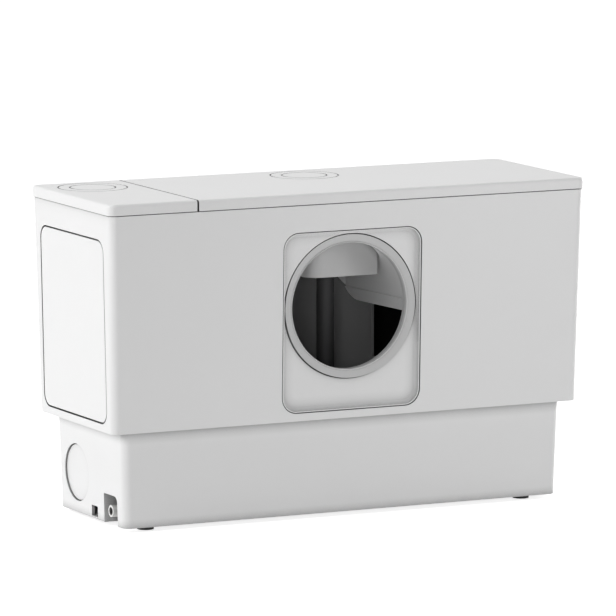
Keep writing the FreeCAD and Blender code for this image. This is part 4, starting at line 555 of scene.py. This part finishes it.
class STATION_OT_pump(bpy.types.Operator):
    """Finish the pump's volute, suction plate, impeller and nut"""
    bl_idname = "station.pump"
    bl_label = "Pump"

    def execute(self, context):
        finish(dark_polypropylene(), "pump_volute", "suction_plate")
        finish(white_polyamide(), "impeller")
        finish(turned_stainless(), "impeller_nut")
        return {"FINISHED"}


class STATION_OT_discharge(bpy.types.Operator):
    """Finish the way out: riser, check valve with its flap, hose and clips"""
    bl_idname = "station.discharge"
    bl_label = "Discharge"

    def execute(self, context):
        finish(white_polyamide(), "riser_elbow", "check_valve_body")
        finish(epdm_rubber(), "check_flap", "discharge_hose")
        finish(turned_stainless(), "check_flap_pin")
        finish(ground_stainless(), "hose_clips")
        return {"FINISHED"}


class STATION_OT_side_inlet(bpy.types.Operator):
    """Finish the side inlet with its flap and pin"""
    bl_idname = "station.side_inlet"
    bl_label = "Side Inlet"

    def execute(self, context):
        finish(white_polyamide(), "side_inlet_spigot")
        finish(epdm_rubber(), "inlet_flap")
        finish(turned_stainless(), "inlet_flap_pin")
        return {"FINISHED"}


class STATION_OT_level(bpy.types.Operator):
    """Finish what senses the level: bell, air hose, pressure switch and its works"""
    bl_idname = "station.level"
    bl_label = "Level Sensing"

    def execute(self, context):
        finish(dark_polypropylene(), "pressure_bell")
        finish(epdm_rubber(), "air_hose")
        finish(grey_polyamide(), "pressure_switch")
        finish(black_polyamide(), "microswitch")
        finish(white_polyamide(), "switch_plunger")
        finish(spring_steel(), "switch_spring")
        self.follow_plunger()
        return {"FINISHED"}

    def follow_plunger(self):
        """Gives the spring a mesh of its own."""
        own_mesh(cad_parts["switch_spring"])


class STATION_OT_controls(bpy.types.Operator):
    """Finish the controls and stand the small parts on the board"""
    bl_idname = "station.controls"
    bl_label = "Controls"

    def execute(self, context):
        finish(grey_polyamide(), "control_tray", "control_cover")
        finish(coated_laminate(), "control_board")
        finish(drawn_aluminium(), "capacitor")
        finish(polyamide("Green moulded polyamide", linear("#2F7A46")), "terminal_block")
        finish(zinc_plated_steel(), "control_screws")
        settings = context.scene.station_board
        self.relay(settings)
        self.transformer(settings)
        self.cans(settings)
        return {"FINISHED"}

    def relay(self, settings):
        """The relay that starts the motor, left of the terminals: a lid on a slightly wider base."""
        board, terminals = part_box("control_board"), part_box("terminal_block")
        right = terminals[0][0] - settings.gap
        left = right - settings.relay_side
        front = terminals[0][1]
        back = front + settings.relay_side
        foot = board[1][2]
        step = foot + settings.relay_height / 8
        lip = settings.relay_side / 30
        mesh = bmesh.new()
        rounded_block(mesh, (left, front, foot), (right, back, step), lip / 2)
        rounded_block(mesh, (left + lip, front + lip, step), (right - lip, back - lip,
                                                              foot + settings.relay_height), lip)
        piece("relay", mesh, polyamide("Blue moulded polyamide", linear("#2B4F7D")))

    def transformer(self, settings):
        """The board's small transformer, right of the terminals: a wound bobbin in a sheet core."""
        board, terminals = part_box("control_board"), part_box("terminal_block")
        left = terminals[1][0] + settings.gap
        right = left + settings.relay_side
        front = terminals[0][1]
        back = front + settings.relay_side
        foot = board[1][2]
        top = foot + settings.relay_side
        leg = settings.relay_side / 5
        edge = settings.relay_side / 40
        core = bmesh.new()
        for low_x, high_x in ((left, left + leg), (right - leg, right)):
            rounded_block(core, (low_x, front + leg, foot), (high_x, back - leg, top), edge)
        rounded_block(core, (left + leg, front + leg, top - leg), (right - leg, back - leg, top), edge)
        piece("transformer_core", core, stacked_sheet())
        coil = bmesh.new()
        rounded_block(coil, (left + leg, front, foot), (right - leg, back, top - leg), leg / 2)
        piece("transformer_coil", coil, enamelled_copper())

    def cans(self, settings):
        """A row of small upright capacitors along the board's back edge, each rolled in near its foot."""
        board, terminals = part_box("control_board"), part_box("terminal_block")
        first, last = terminals[0][0], terminals[1][0]
        y = (terminals[1][1] + board[1][1]) / 2
        profile = [(radius * settings.can_radius, height * settings.can_height)
                   for radius, height in CAN_PROFILE]
        mesh = bmesh.new()
        for i in range(settings.can_count):
            x = first + (last - first) * (i + 0.5) / settings.can_count
            turned(mesh, (x, y, board[1][2]), profile)
        piece("board_capacitors", mesh, black_polyamide())


class STATION_OT_vent(bpy.types.Operator):
    """Finish the vent's housing and its filter"""
    bl_idname = "station.vent"
    bl_label = "Vent"

    def execute(self, context):
        finish(light_polypropylene(), "vent_housing")
        finish(carbon_foam(), "carbon_filter")
        return {"FINISHED"}


def seen_rays(tree):
    """One for a ray from the camera or one that metal and glass pass on, and nought for the rest."""
    path = add(tree, "ShaderNodeLightPath")
    mirrored = add(tree, "ShaderNodeMath", {0: path.outputs["Is Glossy Ray"],
                                            1: path.outputs["Is Transmission Ray"]}, operation="MAXIMUM")
    seen = add(tree, "ShaderNodeMath", {0: path.outputs["Is Camera Ray"], 1: mirrored.outputs["Value"]},
               operation="MAXIMUM")
    return seen.outputs["Value"]


def soft_lamp(name, power, size, place, aim):
    """A round soft lamp at a place, turned to what it lights, made again if it is there already."""
    old = bpy.data.objects.get(name)
    if old:
        bpy.data.objects.remove(old)
    lamp = bpy.data.lights.new(name, "AREA")
    lamp.shape = "DISK"
    lamp.size = size
    lamp.energy = power
    made = bpy.data.objects.new(name, lamp)
    made.location = place
    made.rotation_euler = (aim - place).to_track_quat("-Z", "Y").to_euler()
    bpy.context.scene.collection.objects.link(made)


class STATION_OT_stage(bpy.types.Operator):
    """Set out the floor, the white surroundings, the soft lamps and the camera"""
    bl_idname = "station.stage"
    bl_label = "Stage"

    def execute(self, context):
        settings = context.scene.station_stage
        self.floor(settings)
        self.surroundings(context.scene, settings)
        self.lamps(settings)
        self.camera(context.scene, settings)
        context.scene.view_settings.view_transform = "Standard"
        return {"FINISHED"}

    def floor(self, settings):
        """A plain floor that the camera sees as white, apart from the shadow at the feet."""
        material = bpy.data.materials.get("Plain pale floor") or bpy.data.materials.new("Plain pale floor")
        material.use_nodes = True
        tree = material.node_tree
        tree.nodes.clear()
        matt = add(tree, "ShaderNodeBsdfDiffuse", {"Color": (*settings.floor, 1.0)})
        lift = add(tree, "ShaderNodeMath", {0: seen_rays(tree), 1: settings.floor_lift},
                   operation="MULTIPLY")
        glow = add(tree, "ShaderNodeEmission", {"Strength": lift.outputs["Value"]})
        both = add(tree, "ShaderNodeAddShader", {0: matt.outputs["BSDF"], 1: glow.outputs["Emission"]})
        add(tree, "ShaderNodeOutputMaterial", {"Surface": both.outputs["Shader"]})
        old = bpy.data.objects.get("floor")
        if old:
            bpy.data.objects.remove(old)
        mesh = bmesh.new()
        bmesh.ops.create_grid(mesh, x_segments=1, y_segments=1, size=settings.floor_size / 2)
        data = bpy.data.meshes.new("floor")
        mesh.to_mesh(data)
        mesh.free()
        data.materials.append(material)
        made = bpy.data.objects.new("floor", data)
        bpy.context.scene.collection.objects.link(made)

    def surroundings(self, scene, settings):
        """Even light from all round, which the camera and the reflections see as white."""
        world = bpy.data.worlds.get("Soft white studio") or bpy.data.worlds.new("Soft white studio")
        world.use_nodes = True
        tree = world.node_tree
        tree.nodes.clear()
        strength = add(tree, "ShaderNodeMapRange", {"Value": seen_rays(tree),
                                                    "To Min": settings.sky, "To Max": 1.0})
        sky = add(tree, "ShaderNodeBackground", {"Color": (1.0, 1.0, 1.0, 1.0),
                                                 "Strength": strength.outputs["Result"]})
        add(tree, "ShaderNodeOutputWorld", {"Surface": sky.outputs["Background"]})
        scene.world = world

    def lamps(self, settings):
        """Soft lamps at the left, before the port, near the right, beyond the right end and overhead."""
        aim = Vector(settings.aim)
        for name, distance_name, way, width in LAMPS:
            distance = getattr(settings, distance_name)
            soft_lamp(name, getattr(settings, name), width * distance, aim + Vector(way) * distance, aim)

    def camera(self, scene, settings):
        """The camera, at the photograph's height and turn round the station."""
        old = bpy.data.objects.get("camera")
        if old:
            bpy.data.objects.remove(old)
        lens = bpy.data.cameras.new("camera")
        lens.lens = settings.lens
        lens.clip_end = settings.floor_size
        made = bpy.data.objects.new("camera", lens)
        level = math.cos(settings.elevation)
        way = Vector((math.sin(settings.azimuth) * level, -math.cos(settings.azimuth) * level,
                      math.sin(settings.elevation)))
        made.location = Vector(settings.aim) + way * settings.distance
        made.rotation_euler = (-way).to_track_quat("-Z", "Y").to_euler()
        scene.collection.objects.link(made)
        scene.camera = made


OPERATORS = (STATION_OT_casings, STATION_OT_port, STATION_OT_feet, STATION_OT_gland, STATION_OT_tank,
             STATION_OT_motor, STATION_OT_macerator, STATION_OT_pump, STATION_OT_discharge,
             STATION_OT_side_inlet, STATION_OT_level, STATION_OT_controls, STATION_OT_vent,
             STATION_OT_stage)
SETTINGS = {"station_casing": CasingSettings, "station_port": PortSettings,
            "station_works": WorksSettings, "station_board": BoardSettings,
            "station_stage": StageSettings}


class STATION_PT_panel(bpy.types.Panel):
    """The station's settings, and a button for each group of pieces"""
    bl_label = "Lifting Station"
    bl_idname = "STATION_PT_panel"
    bl_space_type = "VIEW_3D"
    bl_region_type = "UI"
    bl_category = "Station"

    def draw(self, context):
        for name in SETTINGS:
            settings = getattr(context.scene, name)
            column = self.layout.box().column(align=True)
            for setting in settings.bl_rna.properties:
                if setting.identifier not in ("rna_type", "name"):
                    column.prop(settings, setting.identifier)
        for operator in OPERATORS:
            self.layout.operator(operator.bl_idname)


def register():
    """Adds the settings, the operators and the panel to Blender."""
    for settings in SETTINGS.values():
        bpy.utils.register_class(settings)
    for name, settings in SETTINGS.items():
        setattr(bpy.types.Scene, name, bpy.props.PointerProperty(type=settings))
    for operator in OPERATORS:
        bpy.utils.register_class(operator)
    bpy.utils.register_class(STATION_PT_panel)


def unregister():
    """Takes them out again."""
    bpy.utils.unregister_class(STATION_PT_panel)
    for operator in reversed(OPERATORS):
        bpy.utils.unregister_class(operator)
    for name in SETTINGS:
        delattr(bpy.types.Scene, name)
    for settings in SETTINGS.values():
        bpy.utils.unregister_class(settings)


def main():
    """Makes the whole station."""
    register()
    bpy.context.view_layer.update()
    bpy.ops.station.casings()
    bpy.ops.station.port()
    bpy.ops.station.feet()
    bpy.ops.station.gland()
    bpy.ops.station.tank()
    bpy.ops.station.motor()
    bpy.ops.station.macerator()
    bpy.ops.station.pump()
    bpy.ops.station.discharge()
    bpy.ops.station.side_inlet()
    bpy.ops.station.level()
    bpy.ops.station.controls()
    bpy.ops.station.vent()
    bpy.ops.station.stage()


if __name__ == "__main__":
    main()
